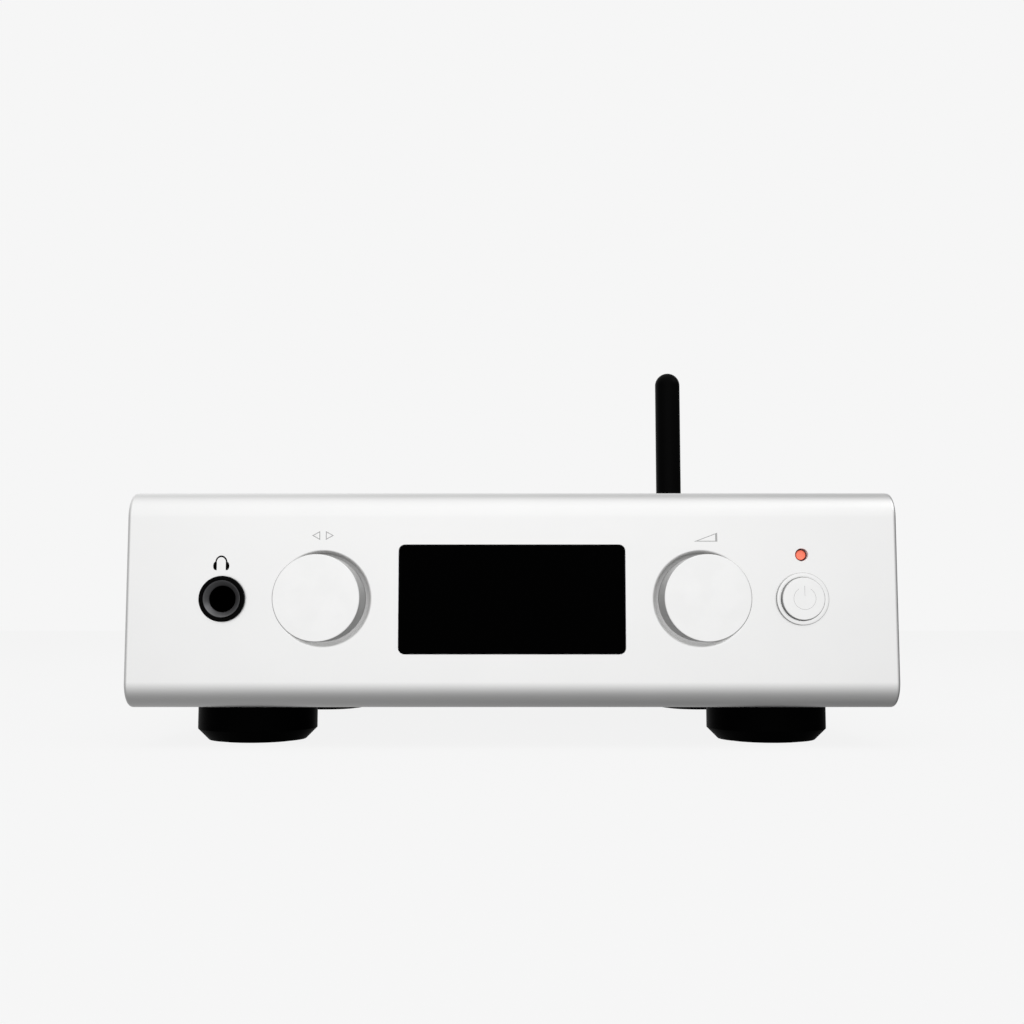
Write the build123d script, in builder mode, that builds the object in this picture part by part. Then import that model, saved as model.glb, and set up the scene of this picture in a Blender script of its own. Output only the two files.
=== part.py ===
from build123d import *
import os

# Desktop headphone amplifier with its own converter, a display between two knobs and a rear antenna.
# Millimetres, +Z up, the front faces -Y. The origin is the middle of the whole object's footprint.
# A depth is always counted backwards from the front panel's face.

# Casing
body_width = 190.0
body_depth = 180.0
body_height = 53.4
panel_thickness = 10.0
panel_edge_round = 6.5
side_edge_round = 1.0
sheet = 2.0
rear_thickness = 2.5
cover_gap = 0.1
lip_height = 8.0
vent_slot = (30.0, 3.0)
vent_pitch = 7.0
vent_rows = 7
vent_column_spacing = 44.0
vent_centre = (34.0, 94.0)
tray_collar_radius = 4.0
tray_collar_height = 3.0

# Feet
foot_radius = 15.5
foot_bevel = 2.9
foot_height = 9.5
foot_spread = 67.15
foot_front_setback = 27.0
foot_rear_setback = 152.5
pad_radius = 10.5
pad_thickness = 1.5
pad_proud = 0.3
foot_screw_radius = 2.0
foot_screw_head = (4.0, 2.6)
foot_web = 3.0

# Knobs and their encoders
knob_spread = 46.5
knob_radius = 10.45
knob_proud = 10.8
knob_front_wall = 1.5
knob_foot_clearance = 0.8
knob_edge_bevel = 0.3
well_radius = 11.3
well_depth = 2.5
well_lip = 0.85
encoder_web = 2.5
encoder_width = 12.0
encoder_height = 13.4
encoder_wall = 1.0
rotor_radius = 4.4
rotor_thickness = 1.5
rotor_gap = 0.3
rotor_side_gap = 0.2
bushing_radius = 3.5
bushing_length = 5.0
shaft_radius = 3.0
shaft_flat = 1.5
shaft_end = 9.0
shaft_flat_start = -1.8
nut_across_flats = 10.0
nut_thickness = 2.0
knob_recess_radius = 6.5
knob_recess_margin = 2.0
grub_radius = 1.5
grub_length = 7.0
grub_depth = -5.0
grub_socket = 0.8
plunger_radius = 3.0
plunger_thickness = 0.8
plunger_stem_radius = 1.2
plunger_stem_length = 1.5

# Display
window_width = 55.7
window_height = 26.8
window_corner = 1.5
window_drop = 0.1
window_web = 2.5
window_flange = (60.0, 31.0)
window_flange_thickness = 1.2
gasket_thickness = 0.6
gasket_opening = (56.4, 27.9)
module_size = (60.5, 37.0)
module_thickness = 2.0
display_board_size = (70.0, 42.0)
display_spacer_spread = (32.0, 18.5)

# Headphone socket
socket_x = -71.16
socket_bore_radius = 3.25
socket_depth = 28.0
socket_body = (15.5, 17.0)
socket_back_wall = 3.0
socket_web = 3.0
socket_bushing_radius = 4.7
socket_mouth_radius = 4.45
socket_proud = 0.9
socket_nut_radius = 5.63
socket_nut_proud = 1.0
socket_nut_bevel = 0.25
contact_slot_width = 3.2
contact_thickness = 0.4
contact_tab = 1.5
contact_front_span = (5.0, 15.0)
contact_rear_span = (16.0, 27.0)

# Power button and lamp
button_x = 71.3
button_radius = 5.25
button_proud = 1.65
button_edge_bevel = 0.25
button_flange_radius = 5.85
button_flange_thickness = 1.0
button_stop_gap = 0.2
button_stem_radius = 2.0
button_stem_length = 6.0
bezel_radius = 6.45
bezel_proud = 0.65
bezel_sleeve_radius = 6.1
bezel_sleeve_length = 2.0
bezel_edge_bevel = 0.15
switch_width = 9.0
switch_depth = 3.5
switch_floor = 0.5
lamp_height = 10.84
lamp_radius = 1.25
lamp_hole_radius = 1.55
lamp_recess = 0.9
lamp_base_radius = 1.9

# Boards
board_thickness = 1.6
front_board_gap = 2.0
front_board_side_gap = 0.5
front_board_height = 45.0
spacer_radius = 2.6
spacer_spread = (58.0, 17.0)
snap_spacer_radius = 2.2
snap_pin_radius = 1.2
standoff_across_flats = 5.5
standoff_height = 6.2
standoff_root_radius = 2.0
board_screw_radius = 1.5
board_screw_length = 6.0
board_screw_head = (2.8, 2.0)
screw_socket = (1.25, 1.2)
ribbon_width = 20.0
ribbon_thickness = 0.8
ribbon_x = 18.0
ribbon_rise = 14.0
ribbon_drop_depth = 31.0
ribbon_bend = 4.0

# Casing screws and corner blocks
case_screw_radius = 1.5
case_screw_length = 10.0
case_screw_head = (2.85, 1.65)
flat_screw_length = 5.0
flat_screw_head_radius = 2.8
block_size = (11.0, 12.0, 11.0)
block_web = 4.0
block_screw_inset = 7.0
block_screw_rise = 6.5
block_side_screw_rise = 5.0
block_tray_screw_inset = 5.0

# Main board: where its edges and standoffs are, and what stands on it
main_board_front = 26.0
main_board_rear_gap = 2.5
main_board_side_gap = 13.0
main_board_left = -12.0
ledge_left = -30.0
ledge_gap = 9.0
strip_span = (36.0, 64.0)
standoff_inset = 6.0
rear_standoff_inset = 7.0
strip_standoff_inset = 4.0
middle_standoff = (30.0, 100.0)
# Capacitors as (x, depth, radius, height); those at the rear count from the board's rear edge
capacitors = (
    (-68.0, 49.0, 8.0, 25.0),
    (-50.0, 49.0, 8.0, 25.0),
    (-32.0, 49.0, 8.0, 25.0),
    (-3.0, 76.0, 5.0, 14.0),
    (10.0, 76.0, 5.0, 14.0),
    (23.0, 76.0, 5.0, 14.0),
)
rear_capacitors = (
    (30.0, 29.0, 4.0, 11.0),
    (42.0, 29.0, 4.0, 11.0),
)
capacitor_bevel = 0.8
# Chips as (x, depth, width, length, height)
chips = (
    (8.0, 110.0, 14.0, 14.0, 1.4),
    (52.0, 112.0, 7.0, 7.0, 1.2),
    (44.0, 84.0, 5.0, 6.0, 1.7),
    (56.0, 84.0, 5.0, 6.0, 1.7),
    (68.0, 84.0, 5.0, 6.0, 1.7),
)
input_chip = (-2.0, 35.0, 10.0, 10.0, 1.4)
heatsink_x = 52.0
heatsink_depth = 48.0
heatsink_size = (44.0, 14.0, 25.0)
heatsink_plate = 3.0
fin_count = 9
fin_thickness = 1.4
regulator_spread = 11.0
regulator_body = (10.0, 4.4, 9.0)
regulator_tab = (1.3, 15.0)
regulator_leg_length = 4.0
regulator_leg_pitch = 2.54
regulator_leg = 0.8
radio_rear_gap = 27.0
radio_size = (16.0, 22.0, 2.4)

# Transformer
transformer_collar_radius = 6.0
transformer_x = -47.0
transformer_depth = 100.0
transformer_radius = 31.0
transformer_bore_radius = 11.0
transformer_height = 30.0
transformer_round = 6.0
dish_radius = 16.0
dish_thickness = 1.2
dish_drop = 2.5
transformer_bolt_radius = 2.5
transformer_bolt_head = (4.25, 5.0)

# Rear connectors
line_x = 43.0
line_spacing = 14.0
coax_x = 17.0
optical_x = -1.0
usb_x = -19.0
phono_rise = 11.4
phono_radius = 4.15
phono_wall = 0.6
phono_length = 9.5
phono_core_setback = 2.5
phono_pin_radius = 1.65
phono_nose_radius = 5.3
phono_housing = (12.0, 14.0, 19.0)
phono_pin_depth = 6.0
optical_body = (13.5, 15.0, 13.0)
optical_nose = (11.0, 11.0)
optical_bore = (8.4, 8.2)
optical_bore_depth = 12.0
flap_setback = 1.0
flap_thickness = 0.8
flap_axle_radius = 0.7
flap_axle_overhang = 0.5
flap_side_gap = 0.3
usb_shell = (12.0, 16.0, 10.9)
usb_wall = 0.6
usb_floor = 2.0
usb_proud = 0.5
usb_cut = 2.2
usb_tongue = (5.6, 9.0, 3.2)
inlet_x = -62.0
inlet_flange = (50.0, 24.0)
inlet_flange_thickness = 2.5
inlet_flange_corner = 4.0
inlet_body = (27.4, 19.9)
inlet_recess = (24.5, 16.6)
inlet_recess_depth = 16.5
inlet_body_depth = 22.5
inlet_corner = 2.0
inlet_bevel = 4.5
inlet_screw_spread = 20.0
pin_section = (2.0, 4.0)
pin_spacing = 7.0
pin_earth_rise = 2.0
pin_tip_setback = 4.5
pin_tail = 6.0

# Antenna
antenna_x = 63.9
antenna_z = 45.0
antenna_standoff = 18.0
mast_radius = 5.0
mast_tip_z = 133.1
tongue_half_width = 1.9
fork_gap = 0.2
pivot_gap = 0.3
pivot_radius = 1.2
jack_radius = 3.1
jack_reach = 7.2
jack_bore_radius = 2.4
jack_bore_depth = 5.0
jack_flange_flats = 8.0
jack_flange_thickness = 3.0
jack_tail_radius = 2.5
jack_tail_length = 6.0
jack_nut_thickness = 2.2
collar_radius = 4.7
collar_gap = 0.4
collar_length = 7.0
collar_wall = 1.4
spigot_radius = 2.0
spigot_head_radius = 2.8
spigot_head_thickness = 0.6
spigot_head_play = 0.1
pivot_half_length = 4.4

# Clearances: a named play for each kind of fit
thread_play = 0.05
running_play = 0.05
insert_play = 0.15
pocket_play = 0.6
pin_play = 0.02
tiny = 0.01

# Levels and places worked out from the sizes above
body_bottom = foot_height + pad_proud
body_top = body_bottom + body_height
mid_z = body_bottom + body_height / 2
overall_depth = knob_proud + body_depth + antenna_standoff + mast_radius
front_y = knob_proud - overall_depth / 2
half_inside = body_width / 2 - sheet
floor_z = body_bottom + sheet
ceiling_z = body_top - sheet
rear_inner = body_depth - rear_thickness
inner_depth = rear_inner - panel_thickness
encoder_front = well_depth + encoder_web
front_board_depth = panel_thickness + front_board_gap
board_z = floor_z + standoff_height
board_top_z = board_z + board_thickness
flange_depth = window_web + window_flange_thickness
module_depth = flange_depth + gasket_thickness
display_board_depth = module_depth + module_thickness
sel_at = (-knob_spread, mid_z)
vol_at = (knob_spread, mid_z)
socket_at = (socket_x, mid_z)
button_at = (button_x, mid_z)
lamp_at = (button_x, mid_z + lamp_height)
window_at = (0, mid_z - window_drop)
antenna_at = (antenna_x, antenna_z)
board_right = half_inside - main_board_side_gap
board_rear = rear_inner - main_board_rear_gap
ledge_front = transformer_depth + transformer_radius + ledge_gap
strip_front, strip_back = strip_span
main_board_areas = (
    ((main_board_left, main_board_front), (board_right, board_rear)),
    ((ledge_left, ledge_front), (main_board_left, board_rear)),
    ((-board_right, strip_front), (main_board_left, strip_back)),
)
standoff_places = (
    (board_right - standoff_inset, main_board_front + standoff_inset),
    (board_right - standoff_inset, board_rear - rear_standoff_inset),
    (main_board_left + standoff_inset, main_board_front + standoff_inset),
    (ledge_left + strip_standoff_inset, ledge_front + standoff_inset),
    (strip_standoff_inset - board_right, strip_back - strip_standoff_inset),
    (main_board_left - strip_standoff_inset, strip_back - strip_standoff_inset),
    middle_standoff,
)
inlet_at = (inlet_x, mid_z)
feet_at = {
    "foot_front_left": (-foot_spread, front_y + foot_front_setback),
    "foot_front_right": (foot_spread, front_y + foot_front_setback),
    "foot_rear_left": (-foot_spread, front_y + foot_rear_setback),
    "foot_rear_right": (foot_spread, front_y + foot_rear_setback),
}
pieces = {}


def facing(depth):
    """Upright plane at a depth behind the panel's face, X to the right and Z up, facing forwards."""
    return Plane.XZ.offset(-(front_y + depth))


def round_bar(at, radius, start, end, mode=Mode.ADD):
    """Round bar along Y about the points (x, z), from one depth to another."""
    with BuildSketch(facing(start)) as outline:
        with Locations(*at):
            Circle(radius)
    extrude(outline.sketch, amount=start - end, mode=mode)


def hex_bar(at, across_flats, start, end, mode=Mode.ADD):
    """Hexagonal bar along Y about the points (x, z), from one depth to another."""
    with BuildSketch(facing(start)) as outline:
        with Locations(*at):
            RegularPolygon(across_flats / 2, 6, major_radius=False)
    extrude(outline.sketch, amount=start - end, mode=mode)


def square_bar(at, size, start, end, corner=0.0, mode=Mode.ADD):
    """Rectangular bar along Y about the points (x, z), with its four long edges rounded if asked."""
    with BuildSketch(facing(start)) as outline:
        with Locations(*at):
            if corner:
                RectangleRounded(*size, corner)
            else:
                Rectangle(*size)
    extrude(outline.sketch, amount=start - end, mode=mode)


def column(at, radius, bottom, top, mode=Mode.ADD):
    """Upright round column about the points (x, y), between two heights."""
    with BuildSketch(Plane.XY.offset(bottom)) as outline:
        with Locations(*at):
            Circle(radius)
    extrude(outline.sketch, amount=top - bottom, mode=mode)


def slab(low, high, mode=Mode.ADD):
    """Box between two opposite corners."""
    with Locations(low):
        Box(
            high[0] - low[0],
            high[1] - low[1],
            high[2] - low[2],
            align=(Align.MIN, Align.MIN, Align.MIN),
            mode=mode,
        )


def corners(spread_x, spread_z, centre=(0, 0)):
    """Four points at plus and minus a spread about a centre."""
    return [(centre[0] + sx * spread_x, centre[1] + sz * spread_z) for sx in (-1, 1) for sz in (-1, 1)]


def circles_near(piece, radius):
    """Circular edges of one radius on a piece."""
    return piece.edges().filter_by(GeomType.CIRCLE).filter_by(lambda edge: abs(edge.radius - radius) < tiny)


def dome_screw(radius, length, head_radius, head_height):
    """Screw along Z with its shank down from the origin and a domed socket head above it."""
    with BuildPart() as screw:
        Cylinder(radius, length, align=(Align.CENTER, Align.CENTER, Align.MAX))
        Cylinder(head_radius, head_height, align=(Align.CENTER, Align.CENTER, Align.MIN))
        chamfer(screw.edges().sort_by(Axis.Z)[-1], head_height / 2)
        with BuildSketch(Plane.XY.offset(head_height)):
            RegularPolygon(screw_socket[0], 6, major_radius=False)
        extrude(amount=-screw_socket[1], mode=Mode.SUBTRACT)
    return screw.part


def flat_screw(radius, length, head_radius):
    """Countersunk screw along Z, its flat head level with the origin and its shank below."""
    with BuildPart() as screw:
        with BuildSketch(Plane.XZ):
            with BuildLine():
                Polyline(
                    (0, 0),
                    (head_radius, 0),
                    (radius, radius - head_radius),
                    (radius, -length),
                    (0, -length),
                    close=True,
                )
            make_face()
        revolve(axis=Axis.Z)
        with BuildSketch(Plane.XY):
            RegularPolygon(screw_socket[0], 6, major_radius=False)
        extrude(amount=-screw_socket[1], mode=Mode.SUBTRACT)
    return screw.part


# Front panel: a machined plate, its long front edges well rounded
with BuildPart() as front_panel:
    square_bar([(0, mid_z)], (body_width, body_height), 0, panel_thickness)
    fillet(front_panel.edges().filter_by(Axis.X).group_by(Axis.Y)[0], panel_edge_round)
    fillet(
        front_panel.faces()
        .filter_by(Axis.X)
        .edges()
        .filter_by(lambda edge: edge.center().Y < front_y + panel_thickness - tiny),
        side_edge_round,
    )
    # Round wells that the knobs sink into, with softened lips
    round_bar([sel_at, vol_at], well_radius, 0, well_depth, Mode.SUBTRACT)
    fillet(circles_near(front_panel, well_radius).group_by(Axis.Y)[0], well_lip)
    round_bar([sel_at, vol_at], bushing_radius + thread_play, 0, panel_thickness, Mode.SUBTRACT)
    encoder_pocket = (encoder_width + 2 * pocket_play, encoder_height + 2 * pocket_play)
    square_bar([sel_at, vol_at], encoder_pocket, encoder_front, panel_thickness, mode=Mode.SUBTRACT)
    # Display opening, then the stepped pockets for its layers from behind
    window_size = (window_width, window_height)
    square_bar([window_at], window_size, 0, panel_thickness, window_corner, Mode.SUBTRACT)
    module_pocket = (module_size[0] + 2 * pocket_play, module_size[1] + 2 * pocket_play)
    square_bar([window_at], module_pocket, window_web, panel_thickness, mode=Mode.SUBTRACT)
    board_pocket = (display_board_size[0] + 2 * pocket_play, display_board_size[1] + 2 * pocket_play)
    square_bar([window_at], board_pocket, display_board_depth, panel_thickness, mode=Mode.SUBTRACT)
    # Headphone socket
    round_bar([socket_at], socket_bushing_radius + thread_play, 0, panel_thickness, Mode.SUBTRACT)
    socket_pocket = (socket_body[0] + 2 * pocket_play, socket_body[1] + 2 * pocket_play)
    square_bar([socket_at], socket_pocket, socket_web, panel_thickness, mode=Mode.SUBTRACT)
    # Power button, its switch and the lamp
    round_bar([button_at], bezel_sleeve_radius + running_play, 0, panel_thickness, Mode.SUBTRACT)
    switch_pocket = (switch_width + 2 * pocket_play, switch_width + 2 * pocket_play)
    switch_front = front_board_depth - switch_depth
    square_bar([button_at], switch_pocket, switch_front - pocket_play, panel_thickness, mode=Mode.SUBTRACT)
    round_bar([lamp_at], lamp_hole_radius, 0, panel_thickness, Mode.SUBTRACT)
    # Blind tapped holes for the corner blocks and the front board
    block_screw_x = half_inside - block_screw_inset
    block_screw_z = body_height / 2 - sheet - block_screw_rise
    block_screws_at = corners(block_screw_x, block_screw_z, (0, mid_z))
    panel_bite = case_screw_length - block_web
    round_bar(
        block_screws_at,
        case_screw_radius + thread_play,
        panel_thickness - panel_bite - thread_play,
        panel_thickness,
        Mode.SUBTRACT,
    )
    board_bite = board_screw_length - board_thickness - front_board_gap
    spacers_at = corners(*spacer_spread, (0, mid_z))
    round_bar(
        spacers_at,
        board_screw_radius + thread_play,
        panel_thickness - board_bite - thread_play,
        panel_thickness,
        Mode.SUBTRACT,
    )
pieces["front_panel"] = front_panel

# Corner blocks: one in each corner behind the front panel and before the rear panel
block_x, block_y, block_z = block_size
with BuildPart() as corner_block:
    # One block for the lower left front corner, with its outer corner at the origin
    slab((0, 0, 0), block_size)
    with BuildSketch(Plane.XZ):
        with Locations((block_screw_inset, block_screw_rise)):
            Circle(case_screw_radius + thread_play)
    extrude(amount=-block_y, mode=Mode.SUBTRACT)
    with BuildSketch(Plane.XZ.offset(-block_y)):
        with Locations((block_screw_inset, block_screw_rise)):
            Circle(case_screw_head[0] + thread_play)
    extrude(amount=block_y - block_web, mode=Mode.SUBTRACT)
    screw_bite = flat_screw_length - sheet + thread_play
    with BuildSketch(Plane.YZ):
        with Locations((block_y / 2, block_side_screw_rise)):
            Circle(case_screw_radius + thread_play)
    extrude(amount=screw_bite, mode=Mode.SUBTRACT)
    with BuildSketch(Plane.XY):
        with Locations((block_tray_screw_inset, block_y / 2)):
            Circle(case_screw_radius + thread_play)
    extrude(amount=screw_bite, mode=Mode.SUBTRACT)
with BuildPart() as corner_blocks:
    with Locations((-half_inside, front_y + panel_thickness, floor_z)):
        add(corner_block.part)
    mirror(about=Plane.YZ)
    mirror(about=Plane.XZ.offset(-(front_y + panel_thickness + inner_depth / 2)))
    mirror(about=Plane.XY.offset(mid_z))
pieces["corner_blocks"] = corner_blocks

# Places of the flat screws in the sides and the underside
block_middles = (front_y + panel_thickness + block_y / 2, front_y + rear_inner - block_y / 2)
side_screws = [
    Location((side * body_width / 2, y, z), (0, side * 90, 0))
    for side in (-1, 1)
    for y in block_middles
    for z in (floor_z + block_side_screw_rise, ceiling_z - block_side_screw_rise)
]
tray_screws = [
    Location((side * (half_inside - block_tray_screw_inset), y, body_bottom), (180, 0, 0))
    for side in (-1, 1)
    for y in block_middles
]

# Top cover: top and both sides in one channel, open below
with BuildPart() as top_cover:
    square_bar([(0, mid_z)], (body_width, body_height), panel_thickness, rear_inner)
    fillet(top_cover.edges().filter_by(Axis.Y), side_edge_round)
    slab(
        (-half_inside, front_y + panel_thickness, body_bottom),
        (half_inside, front_y + rear_inner, ceiling_z),
        Mode.SUBTRACT,
    )
    with Locations(*side_screws):
        CounterSinkHole(
            case_screw_radius + thread_play,
            flat_screw_head_radius + thread_play,
            screw_bite + sheet,
            counter_sink_angle=90,
        )
pieces["top_cover"] = top_cover

# Bottom tray: floor with side lips, screw collars for the feet and vents under the main board
tray_half = half_inside - cover_gap
lip_start = panel_thickness + block_y + cover_gap
with BuildPart() as bottom_tray:
    slab(
        (-tray_half, front_y + panel_thickness, body_bottom),
        (tray_half, front_y + rear_inner, floor_z),
    )
    slab(
        (-tray_half, front_y + lip_start, floor_z),
        (sheet - tray_half, front_y + rear_inner - block_y - cover_gap, floor_z + lip_height),
    )
    mirror(about=Plane.YZ)
    column(feet_at.values(), tray_collar_radius, floor_z, floor_z + tray_collar_height)
    column(feet_at.values(), foot_screw_radius + thread_play, body_bottom, ceiling_z, Mode.SUBTRACT)
    transformer_at = [(transformer_x, front_y + transformer_depth)]
    column(transformer_at, transformer_collar_radius, floor_z, floor_z + tray_collar_height)
    column(transformer_at, transformer_bolt_radius + thread_play, body_bottom, ceiling_z, Mode.SUBTRACT)
    standoffs_at = [(x, front_y + depth) for x, depth in standoff_places]
    column(standoffs_at, standoff_root_radius + thread_play, body_bottom, floor_z, Mode.SUBTRACT)
    with BuildSketch(Plane.XY.offset(body_bottom)):
        with Locations((vent_centre[0], front_y + vent_centre[1])):
            with GridLocations(vent_column_spacing, vent_pitch, 2, vent_rows):
                SlotOverall(*vent_slot)
    extrude(amount=sheet, mode=Mode.SUBTRACT)
    with Locations(*tray_screws):
        CounterSinkHole(
            case_screw_radius + thread_play,
            flat_screw_head_radius + thread_play,
            sheet,
            counter_sink_angle=90,
        )
pieces["bottom_tray"] = bottom_tray

# Rear panel with the cut-outs for its connectors
phono_z = board_top_z + phono_rise
phonos_at = [(line_x - line_spacing / 2, phono_z), (line_x + line_spacing / 2, phono_z), (coax_x, phono_z)]
optical_at = (optical_x, board_top_z + optical_body[2] / 2)
usb_at = (usb_x, board_top_z + usb_shell[2] / 2)
inlet_screws_at = [(inlet_x - inlet_screw_spread, mid_z), (inlet_x + inlet_screw_spread, mid_z)]
with BuildPart() as rear_panel:
    square_bar([(0, mid_z)], (body_width, body_height), rear_inner, body_depth)
    fillet(rear_panel.edges().filter_by(Axis.Y), side_edge_round)
    screw_hole = case_screw_radius + thread_play
    round_bar(block_screws_at + inlet_screws_at, screw_hole, rear_inner, body_depth, Mode.SUBTRACT)
    round_bar(phonos_at, phono_nose_radius + thread_play, rear_inner, body_depth, Mode.SUBTRACT)
    round_bar([antenna_at], jack_radius + thread_play, rear_inner, body_depth, Mode.SUBTRACT)
    usb_face = (usb_shell[0], usb_shell[2])
    for at, size in ((optical_at, optical_nose), (usb_at, usb_face), (inlet_at, inlet_body)):
        cut_out = (size[0] + 2 * insert_play, size[1] + 2 * insert_play)
        square_bar([at], cut_out, rear_inner, body_depth, mode=Mode.SUBTRACT)
pieces["rear_panel"] = rear_panel

# Casing screws: domed ones through the panels, flat ones in the sides and the underside
dome = dome_screw(case_screw_radius, case_screw_length, *case_screw_head)
dome_seats = [(x, panel_thickness + block_web, z) for x, z in block_screws_at]
dome_seats += [(x, body_depth, z) for x, z in block_screws_at]
dome_seats += [(x, body_depth + inlet_flange_thickness, z) for x, z in inlet_screws_at]
with BuildPart() as panel_screws:
    with Locations(*[Location((x, front_y + depth, z), (-90, 0, 0)) for x, depth, z in dome_seats]):
        add(dome)
pieces["panel_screws"] = panel_screws

flat = flat_screw(case_screw_radius, flat_screw_length, flat_screw_head_radius)
with BuildPart() as cover_screws:
    with Locations(*side_screws, *tray_screws):
        add(flat)
pieces["cover_screws"] = cover_screws


def foot(x, y):
    """Round foot with a bevelled lower edge, a recess for its pad and a counterbore for its screw."""
    with BuildPart() as piece:
        column([(x, y)], foot_radius, pad_proud, body_bottom)
        chamfer(piece.edges().group_by(Axis.Z)[0], foot_bevel)
        recess_top = pad_thickness + insert_play
        column([(x, y)], pad_radius + insert_play, pad_proud, recess_top, Mode.SUBTRACT)
        head_hole = foot_screw_head[0] + insert_play
        column([(x, y)], head_hole, recess_top, body_bottom - foot_web, Mode.SUBTRACT)
        column([(x, y)], foot_screw_radius + thread_play, recess_top, body_bottom, Mode.SUBTRACT)
    return piece


for name, (x, y) in feet_at.items():
    pieces[name] = foot(x, y)

with BuildPart() as foot_pads:
    column(feet_at.values(), pad_radius, 0, pad_thickness)
pieces["foot_pads"] = foot_pads

foot_screw_length = foot_web + sheet + tray_collar_height
foot_screw = dome_screw(foot_screw_radius, foot_screw_length, *foot_screw_head)
with BuildPart() as foot_screws:
    with Locations(*[Location((x, y, body_bottom - foot_web), (180, 0, 0)) for x, y in feet_at.values()]):
        add(foot_screw)
pieces["foot_screws"] = foot_screws

# Display: stepped window, gasket, glass module and its board, layer behind layer
with BuildPart() as display_window:
    plug = (window_width - 2 * insert_play, window_height - 2 * insert_play)
    square_bar([window_at], plug, 0, window_web, window_corner - insert_play)
    square_bar([window_at], window_flange, window_web, flange_depth, window_corner)
pieces["display_window"] = display_window

with BuildPart() as display_gasket:
    square_bar([window_at], window_flange, flange_depth, module_depth)
    square_bar([window_at], gasket_opening, flange_depth, module_depth, mode=Mode.SUBTRACT)
pieces["display_gasket"] = display_gasket

with BuildPart() as display_module:
    square_bar([window_at], module_size, module_depth, display_board_depth)
pieces["display_module"] = display_module

display_board_back = display_board_depth + board_thickness
snap_spacers_at = corners(*display_spacer_spread, window_at)
with BuildPart() as display_board:
    square_bar([window_at], display_board_size, display_board_depth, display_board_back)
    snap_hole = snap_pin_radius + thread_play
    round_bar(snap_spacers_at, snap_hole, display_board_depth, display_board_back, Mode.SUBTRACT)
pieces["display_board"] = display_board

# Front board: carries both encoders, the switch and the lamp; the headphone socket passes through it
front_board_back = front_board_depth + board_thickness
with BuildPart() as front_board:
    front_board_width = 2 * (half_inside - block_x - front_board_side_gap)
    board_outline = (front_board_width, front_board_height)
    square_bar([(0, mid_z)], board_outline, front_board_depth, front_board_back)
    square_bar([socket_at], socket_pocket, front_board_depth, front_board_back, mode=Mode.SUBTRACT)
    round_bar(snap_spacers_at, snap_hole, front_board_depth, front_board_back, Mode.SUBTRACT)
    board_hole = board_screw_radius + thread_play
    round_bar(spacers_at, board_hole, front_board_depth, front_board_back, Mode.SUBTRACT)
pieces["front_board"] = front_board

with BuildPart() as board_spacers:
    round_bar(spacers_at, spacer_radius, panel_thickness, front_board_depth)
    round_bar(spacers_at, board_hole, panel_thickness, front_board_depth, Mode.SUBTRACT)
    round_bar(snap_spacers_at, snap_spacer_radius, display_board_back, front_board_depth)
    round_bar(snap_spacers_at, snap_pin_radius, display_board_depth, front_board_back)
pieces["board_spacers"] = board_spacers

# Headphone socket: body with the plug's bore, ring nut on the panel, and two leaf contacts
socket_back = socket_depth + socket_back_wall
with BuildPart() as headphone_socket:
    square_bar([socket_at], socket_body, socket_web, socket_back)
    round_bar([socket_at], socket_bushing_radius, -socket_proud, socket_web)
    round_bar([socket_at], socket_bore_radius, -socket_proud, socket_depth, Mode.SUBTRACT)
    mouth_edge = circles_near(headphone_socket, socket_bore_radius).group_by(Axis.Y)[0]
    chamfer(mouth_edge, socket_mouth_radius - socket_bore_radius)
    slot_half = contact_slot_width / 2
    for (slot_start, slot_end), side in ((contact_front_span, -1), (contact_rear_span, 1)):
        slot_z = sorted((mid_z, mid_z + side * socket_body[1] / 2))
        slab(
            (socket_x - slot_half, front_y + slot_start, slot_z[0]),
            (socket_x + slot_half, front_y + slot_end, slot_z[1]),
            Mode.SUBTRACT,
        )
pieces["headphone_socket"] = headphone_socket

with BuildPart() as socket_nut:
    round_bar([socket_at], socket_nut_radius, -socket_nut_proud, 0)
    chamfer(socket_nut.edges().group_by(Axis.Y)[0], socket_nut_bevel)
    round_bar([socket_at], socket_bushing_radius + thread_play, -socket_nut_proud, 0, Mode.SUBTRACT)
pieces["socket_nut"] = socket_nut

with BuildPart() as socket_contacts:
    leaf_half = slot_half - insert_play
    for (slot_start, slot_end), side in ((contact_front_span, -1), (contact_rear_span, 1)):
        leaf_near = mid_z + side * (socket_bore_radius + insert_play)
        leaf_far = leaf_near + side * contact_thickness
        tab_end = mid_z + side * (socket_body[1] / 2 + contact_tab)
        leaf_z, tab_z = sorted((leaf_near, leaf_far)), sorted((leaf_near, tab_end))
        leaf_end = front_y + slot_end - insert_play
        slab(
            (socket_x - leaf_half, front_y + slot_start + insert_play, leaf_z[0]),
            (socket_x + leaf_half, leaf_end, leaf_z[1]),
        )
        slab(
            (socket_x - leaf_half, leaf_end - contact_thickness, tab_z[0]),
            (socket_x + leaf_half, leaf_end, tab_z[1]),
        )
pieces["socket_contacts"] = socket_contacts

# Knobs: solid turned caps, hollow behind for the bushing and nut, bored for a flatted shaft
knob_foot = well_depth - knob_foot_clearance
bore_front = knob_front_wall - knob_proud
shaft_front = bore_front + insert_play
bushing_front = encoder_front - bushing_length


def flatted_bar(at, radius, flat, start, end, mode=Mode.ADD):
    """Round bar along Y with a flat on its upper side."""
    with BuildSketch(facing(start)) as outline:
        with Locations(at):
            Circle(radius)
        with Locations((at[0], at[1] + flat)):
            Rectangle(2 * radius, radius, align=(Align.CENTER, Align.MIN), mode=Mode.SUBTRACT)
    extrude(outline.sketch, amount=start - end, mode=mode)


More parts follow.
